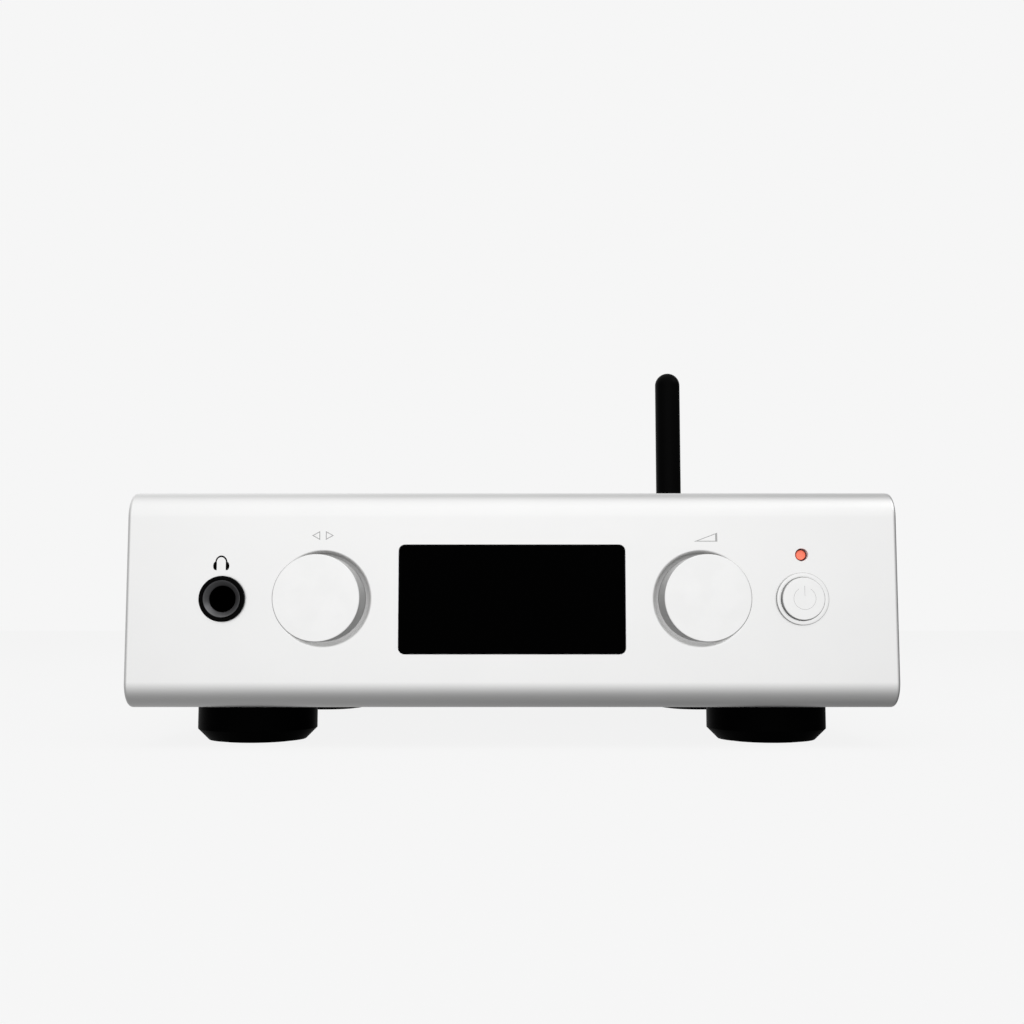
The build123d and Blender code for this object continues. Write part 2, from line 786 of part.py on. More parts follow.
def knob(at):
    """Plain round knob with a grub screw hole in its upper side."""
    with BuildPart() as piece:
        round_bar([at], knob_radius, -knob_proud, knob_foot)
        chamfer(piece.edges().group_by(Axis.Y)[0], knob_edge_bevel)
        round_bar([at], knob_recess_radius, bushing_front - knob_recess_margin, knob_foot, Mode.SUBTRACT)
        bore = (shaft_radius + thread_play, shaft_flat + thread_play)
        flatted_bar(at, *bore, bore_front, knob_foot, Mode.SUBTRACT)
        grub_at = [(at[0], front_y + grub_depth)]
        column(grub_at, grub_radius + thread_play, at[1], at[1] + knob_radius, Mode.SUBTRACT)
    return piece


def grub_screw(at):
    """Headless screw that bears on the shaft's flat."""
    with BuildPart() as piece:
        grub_at = [(at[0], front_y + grub_depth)]
        seat = at[1] + shaft_flat
        column(grub_at, grub_radius, seat, seat + grub_length)
        with BuildSketch(Plane.XY.offset(seat + grub_length)):
            with Locations(*grub_at):
                RegularPolygon(grub_socket, 6, major_radius=False)
        extrude(amount=-screw_socket[1], mode=Mode.SUBTRACT)
    return piece


def encoder_shaft(at):
    """Shaft with a flat at the knob's end and the encoder's rotor disc on it."""
    rotor_start = encoder_front + encoder_wall + rotor_gap
    with BuildPart() as piece:
        flatted_bar(at, shaft_radius, shaft_flat, shaft_front, shaft_flat_start)
        round_bar([at], shaft_radius, shaft_flat_start, shaft_end)
        round_bar([at], rotor_radius, rotor_start, rotor_start + rotor_thickness)
    return piece


def encoder_body(at, stem_hole=0.0):
    """Encoder housing with its bushing and rotor chamber; a stem hole guides a push plunger."""
    chamber_back = front_board_depth - encoder_wall
    with BuildPart() as piece:
        square_bar([at], (encoder_width, encoder_height), encoder_front, front_board_depth)
        round_bar([at], bushing_radius, bushing_front, encoder_front)
        chamber = rotor_radius + rotor_side_gap
        round_bar([at], chamber, encoder_front + encoder_wall, chamber_back, Mode.SUBTRACT)
        bore_end = encoder_front + encoder_wall
        round_bar([at], shaft_radius + running_play, bushing_front, bore_end, Mode.SUBTRACT)
        if stem_hole:
            round_bar([at], stem_hole, chamber_back, front_board_depth, Mode.SUBTRACT)
    return piece


pieces["sel_knob"] = knob(sel_at)
pieces["sel_grub_screw"] = grub_screw(sel_at)
pieces["sel_shaft"] = encoder_shaft(sel_at)
pieces["sel_encoder"] = encoder_body(sel_at, plunger_stem_radius + running_play)
pieces["vol_knob"] = knob(vol_at)
pieces["vol_grub_screw"] = grub_screw(vol_at)
pieces["vol_shaft"] = encoder_shaft(vol_at)
pieces["vol_encoder"] = encoder_body(vol_at)

# Plunger behind the select shaft: it slides with the push and doesn't turn
with BuildPart() as sel_plunger:
    stem_start = shaft_end + plunger_thickness
    round_bar([sel_at], plunger_radius, shaft_end, stem_start)
    round_bar([sel_at], plunger_stem_radius, stem_start, stem_start + plunger_stem_length)
pieces["sel_plunger"] = sel_plunger

with BuildPart() as encoder_nuts:
    hex_bar([sel_at, vol_at], nut_across_flats, well_depth - nut_thickness, well_depth)
    nut_bore = bushing_radius + thread_play
    round_bar([sel_at, vol_at], nut_bore, well_depth - nut_thickness, well_depth, Mode.SUBTRACT)
pieces["encoder_nuts"] = encoder_nuts

# Power button: cap with a captive flange and stem, held by its bezel
button_flange_front = bezel_sleeve_length + button_stop_gap
button_flange_back = button_flange_front + button_flange_thickness
with BuildPart() as power_button:
    round_bar([button_at], button_radius, -button_proud, button_flange_front)
    chamfer(power_button.edges().group_by(Axis.Y)[0], button_edge_bevel)
    round_bar([button_at], button_flange_radius, button_flange_front, button_flange_back)
    stem_end = button_flange_back + button_stem_length
    round_bar([button_at], button_stem_radius, button_flange_back, stem_end)
pieces["power_button"] = power_button

with BuildPart() as button_bezel:
    round_bar([button_at], bezel_radius, -bezel_proud, 0)
    chamfer(button_bezel.edges().group_by(Axis.Y)[0], bezel_edge_bevel)
    round_bar([button_at], bezel_sleeve_radius, 0, bezel_sleeve_length)
    bezel_bore = button_radius + running_play
    round_bar([button_at], bezel_bore, -bezel_proud, bezel_sleeve_length, Mode.SUBTRACT)
pieces["button_bezel"] = button_bezel

with BuildPart() as power_switch:
    square_bar([button_at], (switch_width, switch_width), switch_front, front_board_depth)
    switch_bore_end = front_board_depth - switch_floor
    switch_bore = button_stem_radius + running_play
    round_bar([button_at], switch_bore, switch_front, switch_bore_end, Mode.SUBTRACT)
pieces["power_switch"] = power_switch

with BuildPart() as power_lamp:
    round_bar([lamp_at], lamp_radius, lamp_recess, panel_thickness)
    round_bar([lamp_at], lamp_base_radius, panel_thickness, front_board_depth)
pieces["power_lamp"] = power_lamp

# Ribbon between the front board and the main board, bent once
with BuildPart() as board_ribbon:
    with BuildSketch(Plane.YZ.offset(ribbon_x - ribbon_width / 2)):
        with BuildLine() as ribbon_path:
            ribbon_top = board_top_z + ribbon_rise
            ribbon_back = front_y + ribbon_drop_depth
            FilletPolyline(
                (front_y + front_board_back, ribbon_top),
                (ribbon_back, ribbon_top),
                (ribbon_back, board_top_z),
                radius=ribbon_bend,
            )
        trace(ribbon_path.line, line_width=ribbon_thickness)
    extrude(amount=ribbon_width)
pieces["board_ribbon"] = board_ribbon

# Main board: one stepped outline round the transformer
with BuildPart() as main_board:
    for (x_low, depth_low), (x_high, depth_high) in main_board_areas:
        slab((x_low, front_y + depth_low, board_z), (x_high, front_y + depth_high, board_top_z))
    column(standoffs_at, board_screw_radius + thread_play, board_z, board_top_z, Mode.SUBTRACT)
pieces["main_board"] = main_board

with BuildPart() as board_standoffs:
    with BuildSketch(Plane.XY.offset(floor_z)):
        with Locations(*standoffs_at):
            RegularPolygon(standoff_across_flats / 2, 6, major_radius=False)
    extrude(amount=standoff_height)
    column(standoffs_at, standoff_root_radius, body_bottom, floor_z)
    column(standoffs_at, board_screw_radius + thread_play, floor_z, board_z, Mode.SUBTRACT)
pieces["board_standoffs"] = board_standoffs

pan = dome_screw(board_screw_radius, board_screw_length, *board_screw_head)
with BuildPart() as board_screws:
    with Locations(*[Location((x, y, board_top_z)) for x, y in standoffs_at]):
        add(pan)
    with Locations(*[Location((x, front_y + front_board_back, z), (-90, 0, 0)) for x, z in spacers_at]):
        add(pan)
pieces["board_screws"] = board_screws

with BuildPart() as filter_capacitors:
    from_rear = [(x, board_rear - gap, radius, height) for x, gap, radius, height in rear_capacitors]
    for x, depth, radius, height in (*capacitors, *from_rear):
        column([(x, front_y + depth)], radius, board_top_z, board_top_z + height)
    can_tops = filter_capacitors.edges().filter_by(lambda edge: edge.center().Z > board_top_z + tiny)
    chamfer(can_tops.filter_by(GeomType.CIRCLE), capacitor_bevel)
pieces["filter_capacitors"] = filter_capacitors

# Heatsink: a comb of upright fins on one plate
with BuildPart() as heatsink:
    heatsink_front = front_y + heatsink_depth
    heatsink_back = heatsink_front + heatsink_size[1]
    heatsink_top = board_top_z + heatsink_size[2]
    heatsink_left = heatsink_x - heatsink_size[0] / 2
    slab(
        (heatsink_left, heatsink_front, board_top_z),
        (heatsink_left + heatsink_size[0], heatsink_back, heatsink_top),
    )
    fin_gap = (heatsink_size[0] - fin_count * fin_thickness) / (fin_count - 1)
    for fin in range(fin_count - 1):
        gap_left = heatsink_left + fin_thickness + fin * (fin_thickness + fin_gap)
        slab(
            (gap_left, heatsink_front + heatsink_plate, board_top_z),
            (gap_left + fin_gap, heatsink_back, heatsink_top),
            Mode.SUBTRACT,
        )
pieces["heatsink"] = heatsink

# Chips: flat packages on the board, and two regulators standing against the heatsink
with BuildPart() as board_chips:
    input_x, input_gap, *input_size = input_chip
    for x, depth, width, length, height in (*chips, (input_x, board_rear - input_gap, *input_size)):
        with Locations((x, front_y + depth, board_top_z)):
            Box(width, length, height, align=(Align.CENTER, Align.CENTER, Align.MIN))
    for offset_x in (-regulator_spread, regulator_spread):
        low_x = heatsink_x + offset_x - regulator_body[0] / 2
        high_x = low_x + regulator_body[0]
        legs_top = board_top_z + regulator_leg_length
        slab(
            (low_x, heatsink_front - regulator_body[1], legs_top),
            (high_x, heatsink_front, legs_top + regulator_body[2]),
        )
        slab(
            (low_x, heatsink_front - regulator_tab[0], legs_top),
            (high_x, heatsink_front, legs_top + regulator_tab[1]),
        )
        leg_y = heatsink_front - regulator_body[1] / 2
        for leg in (-1, 0, 1):
            leg_x = heatsink_x + offset_x + leg * regulator_leg_pitch
            slab(
                (leg_x - regulator_leg / 2, leg_y - regulator_leg, board_top_z),
                (leg_x + regulator_leg / 2, leg_y, legs_top),
            )
pieces["board_chips"] = board_chips

with BuildPart() as bluetooth_module:
    with Locations((antenna_x, front_y + board_rear - radio_rear_gap, board_top_z)):
        Box(*radio_size, align=(Align.CENTER, Align.CENTER, Align.MIN))
pieces["bluetooth_module"] = bluetooth_module

# Transformer: wound ring on the tray, held down by a dish and one bolt
with BuildPart() as transformer:
    column(transformer_at, transformer_radius, floor_z, floor_z + transformer_height)
    column(transformer_at, transformer_bore_radius, floor_z, floor_z + transformer_height, Mode.SUBTRACT)
    fillet(circles_near(transformer, transformer_radius), transformer_round)
pieces["transformer"] = transformer

transformer_top = floor_z + transformer_height
with BuildPart() as transformer_dish:
    column(transformer_at, dish_radius, transformer_top, transformer_top + dish_thickness)
    hub_radius = transformer_bore_radius - dish_thickness
    column(transformer_at, hub_radius, transformer_top - dish_drop, transformer_top)
    well = hub_radius - dish_thickness
    well_floor = transformer_top - dish_drop + dish_thickness
    column(transformer_at, well, well_floor, transformer_top + dish_thickness, Mode.SUBTRACT)
    bolt_hole = transformer_bolt_radius + thread_play
    column(transformer_at, bolt_hole, transformer_top - dish_drop, well_floor, Mode.SUBTRACT)
pieces["transformer_dish"] = transformer_dish

bolt = dome_screw(transformer_bolt_radius, well_floor - floor_z, *transformer_bolt_head)
with BuildPart() as transformer_bolt:
    with Locations(Location((*transformer_at[0], well_floor))):
        add(bolt)
pieces["transformer_bolt"] = transformer_bolt

# Mains inlet: flanged socket with three blades in its recess
inlet_face = body_depth + inlet_flange_thickness
inlet_back = inlet_face - inlet_body_depth
recess_floor = inlet_face - inlet_recess_depth
pins_at = [
    (inlet_x - pin_spacing, mid_z - pin_earth_rise),
    (inlet_x + pin_spacing, mid_z - pin_earth_rise),
    (inlet_x, mid_z + pin_earth_rise),
]
with BuildPart() as mains_inlet:
    square_bar([inlet_at], inlet_flange, body_depth, inlet_face, inlet_flange_corner)
    square_bar([inlet_at], inlet_body, inlet_back, body_depth, inlet_corner)
    with BuildSketch(facing(inlet_face)) as recess:
        with Locations(inlet_at):
            Rectangle(*inlet_recess)
        chamfer(recess.vertices().group_by(Axis.Y)[-1], inlet_bevel)
        fillet(recess.vertices().group_by(Axis.Y)[0], inlet_corner)
    extrude(amount=inlet_recess_depth, mode=Mode.SUBTRACT)
    pin_slot = (pin_section[0] + 2 * pin_play, pin_section[1] + 2 * pin_play)
    square_bar(pins_at, pin_slot, inlet_back, recess_floor, mode=Mode.SUBTRACT)
    round_bar(inlet_screws_at, screw_hole, body_depth, inlet_face, Mode.SUBTRACT)
pieces["mains_inlet"] = mains_inlet

with BuildPart() as inlet_pins:
    square_bar(pins_at, pin_section, inlet_back - pin_tail, inlet_face - pin_tip_setback)
pieces["inlet_pins"] = inlet_pins

# Phono sockets: housing with a nose through the panel and an insulating core, and a metal shell pushed on it
shell_end = body_depth + phono_length
with BuildPart() as phono_housings:
    core_radius = phono_radius - phono_wall - thread_play
    core_end = shell_end - phono_core_setback
    for x, z in phonos_at:
        slab(
            (x - phono_housing[0] / 2, front_y + rear_inner - phono_housing[1], board_top_z),
            (x + phono_housing[0] / 2, front_y + rear_inner, board_top_z + phono_housing[2]),
        )
    round_bar(phonos_at, phono_nose_radius, rear_inner, body_depth)
    round_bar(phonos_at, core_radius, body_depth, core_end)
    round_bar(phonos_at, phono_pin_radius, rear_inner - phono_pin_depth, core_end, Mode.SUBTRACT)
pieces["phono_housings"] = phono_housings

with BuildPart() as phono_shells:
    round_bar(phonos_at, phono_radius, body_depth, shell_end)
    chamfer(phono_shells.edges().group_by(Axis.Y)[-1], phono_wall / 2)
    round_bar(phonos_at, phono_radius - phono_wall, body_depth, shell_end, Mode.SUBTRACT)
pieces["phono_shells"] = phono_shells

# Optical input: square bore closed by a flap that swings inwards from its top edge
bore_top = optical_at[1] + optical_bore[1] / 2
bore_bottom = optical_at[1] - optical_bore[1] / 2
axle_depth = body_depth - flap_setback - flap_axle_radius
axle_z = bore_top - flap_axle_radius - flap_side_gap
axle_half = optical_bore[0] / 2 + flap_axle_overhang
with BuildPart() as optical_socket:
    slab(
        (optical_x - optical_body[0] / 2, front_y + rear_inner - optical_body[1], board_top_z),
        (optical_x + optical_body[0] / 2, front_y + rear_inner, board_top_z + optical_body[2]),
    )
    square_bar([optical_at], optical_nose, rear_inner, body_depth)
    bore_start = body_depth - optical_bore_depth
    square_bar([optical_at], optical_bore, bore_start, body_depth, mode=Mode.SUBTRACT)
    with BuildSketch(Plane.YZ.offset(optical_x)):
        with Locations((front_y + axle_depth, axle_z)):
            Circle(flap_axle_radius + running_play)
    extrude(amount=axle_half + running_play, both=True, mode=Mode.SUBTRACT)
pieces["optical_socket"] = optical_socket

with BuildPart() as optical_flap:
    slab(
        (
            optical_x - optical_bore[0] / 2 + flap_side_gap,
            front_y + body_depth - flap_setback - flap_thickness,
            bore_bottom + flap_side_gap,
        ),
        (optical_x + optical_bore[0] / 2 - flap_side_gap, front_y + body_depth - flap_setback, axle_z),
    )
    with BuildSketch(Plane.YZ.offset(optical_x)):
        with Locations((front_y + axle_depth, axle_z)):
            Circle(flap_axle_radius)
    extrude(amount=axle_half, both=True)
pieces["optical_flap"] = optical_flap

# Data socket: thin metal shell with cut upper corners round a tongue
usb_end = body_depth + usb_proud
usb_start = usb_end - usb_shell[1]


def usb_profile(plane, inset):
    """Outline of the data socket, shrunk by an inset, on a plane."""
    with BuildSketch(plane) as outline:
        with Locations(usb_at):
            Rectangle(usb_shell[0] - 2 * inset, usb_shell[2] - 2 * inset)
        chamfer(outline.vertices().group_by(Axis.Y)[-1], usb_cut)
    return outline.sketch


with BuildPart() as usb_socket:
    extrude(usb_profile(facing(usb_start), 0), amount=-usb_shell[1])
    extrude(usb_profile(facing(usb_end), usb_wall), amount=usb_shell[1] - usb_floor, mode=Mode.SUBTRACT)
    tongue_end = usb_start + usb_floor + usb_tongue[1]
    square_bar([usb_at], (usb_tongue[0], usb_tongue[2]), usb_start + usb_floor, tongue_end)
pieces["usb_socket"] = usb_socket

# Antenna jack through the rear panel, with its nut and the coupling collar screwed on it
jack_end = body_depth + jack_reach
with BuildPart() as antenna_jack:
    round_bar([antenna_at], jack_radius, rear_inner, jack_end)
    hex_bar([antenna_at], jack_flange_flats, rear_inner - jack_flange_thickness, rear_inner)
    tail_start = rear_inner - jack_flange_thickness - jack_tail_length
    round_bar([antenna_at], jack_tail_radius, tail_start, rear_inner - jack_flange_thickness)
    round_bar([antenna_at], jack_bore_radius, jack_end - jack_bore_depth, jack_end, Mode.SUBTRACT)
pieces["antenna_jack"] = antenna_jack

with BuildPart() as antenna_jack_nut:
    hex_bar([antenna_at], jack_flange_flats, body_depth, body_depth + jack_nut_thickness)
    jack_hole = jack_radius + thread_play
    round_bar([antenna_at], jack_hole, body_depth, body_depth + jack_nut_thickness, Mode.SUBTRACT)
pieces["antenna_jack_nut"] = antenna_jack_nut

collar_front = body_depth + jack_nut_thickness + collar_gap
collar_back = collar_front + collar_length
with BuildPart() as antenna_collar:
    round_bar([antenna_at], collar_radius, collar_front, collar_back)
    round_bar([antenna_at], jack_hole, collar_front, collar_back - collar_wall, Mode.SUBTRACT)
    round_bar([antenna_at], spigot_radius + running_play, collar_front, collar_back, Mode.SUBTRACT)
pieces["antenna_collar"] = antenna_collar

# Knuckle: swivels in the collar on a headed spigot and carries the mast on a flat tongue
pivot_depth = body_depth + antenna_standoff
pivot_y = front_y + pivot_depth
tongue_radius = mast_radius - pivot_gap
knuckle_front = collar_back + pivot_gap
knuckle_back = pivot_depth - mast_radius - pivot_gap
head_back = collar_back - collar_wall - spigot_head_play
with BuildPart() as antenna_knuckle:
    round_bar([antenna_at], mast_radius, knuckle_front, knuckle_back)
    round_bar([antenna_at], spigot_radius, head_back, knuckle_front)
    round_bar([antenna_at], spigot_head_radius, head_back - spigot_head_thickness, head_back)
    slab(
        (antenna_x - tongue_half_width, front_y + knuckle_back, antenna_z - tongue_radius),
        (antenna_x + tongue_half_width, pivot_y, antenna_z + tongue_radius),
    )
    with BuildSketch(Plane.YZ.offset(antenna_x)):
        with Locations((pivot_y, antenna_z)):
            Circle(tongue_radius)
    extrude(amount=tongue_half_width, both=True)
    with BuildSketch(Plane.YZ.offset(antenna_x)):
        with Locations((pivot_y, antenna_z)):
            Circle(pivot_radius + running_play)
    extrude(amount=tongue_half_width, both=True, mode=Mode.SUBTRACT)
pieces["antenna_knuckle"] = antenna_knuckle

# Mast: round-tipped rod whose lower end is forked round the tongue and rounded about the pivot
mast_at = [(antenna_x, pivot_y)]
with BuildPart() as antenna_mast:
    column(mast_at, mast_radius, antenna_z - mast_radius, antenna_z)
    with BuildSketch(Plane.YZ.offset(antenna_x)):
        with Locations((pivot_y, antenna_z)):
            Circle(mast_radius)
    extrude(amount=mast_radius, both=True, mode=Mode.INTERSECT)
    column(mast_at, mast_radius, antenna_z, mast_tip_z - mast_radius)
    with Locations((antenna_x, pivot_y, mast_tip_z - mast_radius)):
        Sphere(mast_radius)
    fork_half = tongue_half_width + fork_gap
    slab(
        (antenna_x - fork_half, pivot_y - mast_radius, antenna_z - mast_radius),
        (antenna_x + fork_half, pivot_y + mast_radius, antenna_z + mast_radius + pivot_gap),
        Mode.SUBTRACT,
    )
    with BuildSketch(Plane.YZ.offset(antenna_x)):
        with Locations((pivot_y, antenna_z)):
            Circle(pivot_radius + pin_play)
    extrude(amount=mast_radius, both=True, mode=Mode.SUBTRACT)
pieces["antenna_mast"] = antenna_mast

with BuildPart() as antenna_pin:
    with BuildSketch(Plane.YZ.offset(antenna_x)):
        with Locations((pivot_y, antenna_z)):
            Circle(pivot_radius)
    extrude(amount=pivot_half_length, both=True)
pieces["antenna_pin"] = antenna_pin

os.makedirs("parts", exist_ok=True)
for name, piece in pieces.items():
    piece.part.label = name
    export_step(piece.part, f"parts/{name}.step")
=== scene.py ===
"""Dressed visual model of a desktop headphone amplifier, set up in a plain studio.

Lengths are worked out in millimetres and become metres when a mesh is made. X is to the right, Z is up, and a
depth is counted backwards, along +Y, from the face of the front panel.
"""
from __future__ import annotations

import logging
import math
from collections.abc import Sequence
from dataclasses import dataclass, field
from enum import Enum
from typing import Any

import bmesh
import bpy
import numpy as np
from mathutils.geometry import tessellate_polygon
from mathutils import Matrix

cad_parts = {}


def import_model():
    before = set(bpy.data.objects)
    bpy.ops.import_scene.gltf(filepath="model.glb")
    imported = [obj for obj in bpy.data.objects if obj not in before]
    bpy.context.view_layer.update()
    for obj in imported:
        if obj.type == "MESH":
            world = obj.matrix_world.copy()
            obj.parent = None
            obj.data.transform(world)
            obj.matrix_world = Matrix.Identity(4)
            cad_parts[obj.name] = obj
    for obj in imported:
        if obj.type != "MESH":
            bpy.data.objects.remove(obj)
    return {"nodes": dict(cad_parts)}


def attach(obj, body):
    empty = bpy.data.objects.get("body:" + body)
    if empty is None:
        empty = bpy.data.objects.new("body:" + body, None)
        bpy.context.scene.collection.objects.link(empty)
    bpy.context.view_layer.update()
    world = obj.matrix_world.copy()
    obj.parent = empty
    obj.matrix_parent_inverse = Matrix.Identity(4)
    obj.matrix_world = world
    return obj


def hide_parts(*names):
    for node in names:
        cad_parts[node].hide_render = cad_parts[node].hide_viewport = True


LOG = logging.getLogger("headphone_amplifier")

Colour = tuple[float, float, float]
Place = tuple[float, float]
Size = tuple[float, float]
Nodes = dict[str, bpy.types.Object]
Inputs = dict[Any, Any] | None

MM = 0.001
SHARP_DEG = 28.0
MERGE_M = 2e-7

# Depths of the casing, counted from the panel's face, which lies at this Y
PANEL_FACE_Y = -96.1
PANEL_BACK = 10.0
REAR_START = 177.5
REAR_END = 180.0

# Places on the front and on the rear, as (x, z)
MIDDLE_Z = 36.5
SELECT_AT = (-46.5, MIDDLE_Z)
VOLUME_AT = (46.5, MIDDLE_Z)
WINDOW_AT = (0.0, 36.4)
SOCKET_AT = (-71.16, MIDDLE_Z)
BUTTON_AT = (71.3, MIDDLE_Z)
LAMP_AT = (71.3, 47.34)
PHONO_AT = {"coax": (17.0, 31.0), "left": (36.0, 31.0), "right": (50.0, 31.0)}
ANTENNA_AT = (63.9, 45.0)

# How thick printed ink stands on a surface
INK = 0.012


class Body(Enum):
    """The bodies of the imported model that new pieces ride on."""

    CASING = "casing"
    SELECT_KNOB = "sel_knob"
    VOLUME_KNOB = "vol_knob"
    POWER_BUTTON = "power_button"
    MAST = "antenna_mast"


class Axis(Enum):
    """The line that a turned piece is turned about."""

    DEPTH = "depth"
    HEIGHT = "height"


# Outlines and surfaces


def softened(corners: Sequence[Sequence[float]], steps: int = 5) -> np.ndarray:
    """Round the corners of an open outline.

    At a corner, a is the unit vector to the corner before it and b the one to the corner after it, and half
    is half the angle between them. The arc's centre lies at radius / sin(half) along the bisector of a and b,
    and the arc touches the two runs at radius / tan(half) from the corner. Between these touching points the
    radius is swung evenly, as a weighted sum of its first and last direction.

    Args:
        corners: Each corner as (first, second) or (first, second, radius); without a radius it stays sharp.
        steps: How many spans an arc has.

    Returns:
        The outline's points, an array of (points, 2).
    """
    points = [np.array(corner[:2], float) for corner in corners]
    radii = [corner[2] if len(corner) > 2 else 0.0 for corner in corners]
    share = np.linspace(0, 1, steps + 1)[:, None]
    runs = []
    for before, at, after, radius in zip([None, *points[:-1]], points, [*points[1:], None], radii):
        if not radius or before is None or after is None:
            runs.append(at[None])
            continue
        a = (before - at) / np.linalg.norm(before - at)
        b = (after - at) / np.linalg.norm(after - at)
        half = math.acos(float(np.clip(a @ b, -1, 1))) / 2
        centre = at + (a + b) / np.linalg.norm(a + b) * radius / math.sin(half)
        first = at + a * radius / math.tan(half) - centre
        last = at + b * radius / math.tan(half) - centre
        swing = math.pi - 2 * half
        swung = np.sin((1 - share) * swing) * first + np.sin(share * swing) * last
        runs.append(centre + swung / math.sin(swing))
    return np.concatenate(runs)


def ring(centre: Place, radius: float, count: int = 64) -> np.ndarray:
    """Circle of points: centre plus radius times (cosine, sine) of an even angle.

    Args:
        centre: The middle of the circle.
        radius: The radius in millimetres.
        count: How many points go round.

    Returns:
        An array of (count, 2).
    """
    angle = np.linspace(0, 2 * math.pi, count, endpoint=False)
    return np.array(centre) + radius * np.stack([np.cos(angle), np.sin(angle)], axis=1)


def frame(centre: Place, size: Size, corner: float = 0.0, steps: int = 6, inset: float = 0.0) -> np.ndarray:
    """Rectangle of points, its corners rounded: each corner is an arc about a point one radius inside it.

    Args:
        centre: The middle of the rectangle.
        size: Width and height.
        corner: Radius of the corners; 0 gives four sharp ones.
        steps: How many spans a corner has.
        inset: How far the sides are moved inwards; it shortens the corners' radius as well.

    Returns:
        An array of (points, 2), anticlockwise from the right.
    """
    half = np.array(size) / 2 - inset
    if not corner:
        return np.array(centre) + half * np.array([(1, -1), (1, 1), (-1, 1), (-1, -1)])
    radius = corner - inset
    turn = np.arange(4)[:, None] * math.pi / 2 + np.linspace(0, math.pi / 2, steps + 1)
    signs = np.array([(1, 1), (-1, 1), (-1, -1), (1, -1)])[:, None]
    arcs = signs * (half - radius) + radius * np.stack([np.cos(turn), np.sin(turn)], axis=2)
    return np.array(centre) + arcs.reshape(-1, 2)


def at_depth(outline: np.ndarray, depth: float) -> np.ndarray:
    """Stand an outline of (x, z) upright, facing the front, at a depth.

    Args:
        outline: Array of (points, 2).
        depth: Distance behind the panel's face.

    Returns:
        Array of (points, 3) in the model's frame.
    """
    x, z = outline[:, 0], outline[:, 1]
    return np.stack([x, np.full_like(x, PANEL_FACE_Y + depth), z], axis=1)


def at_x(outline: np.ndarray, x: float) -> np.ndarray:
    """Stand an outline of (depth, z) upright, facing a side, at a distance from the middle.

    Args:
        outline: Array of (points, 2).
        x: Distance to the right of the middle.

    Returns:
        Array of (points, 3) in the model's frame.
    """
    return np.stack([np.full(len(outline), x), outline[:, 0] + PANEL_FACE_Y, outline[:, 1]], axis=1)


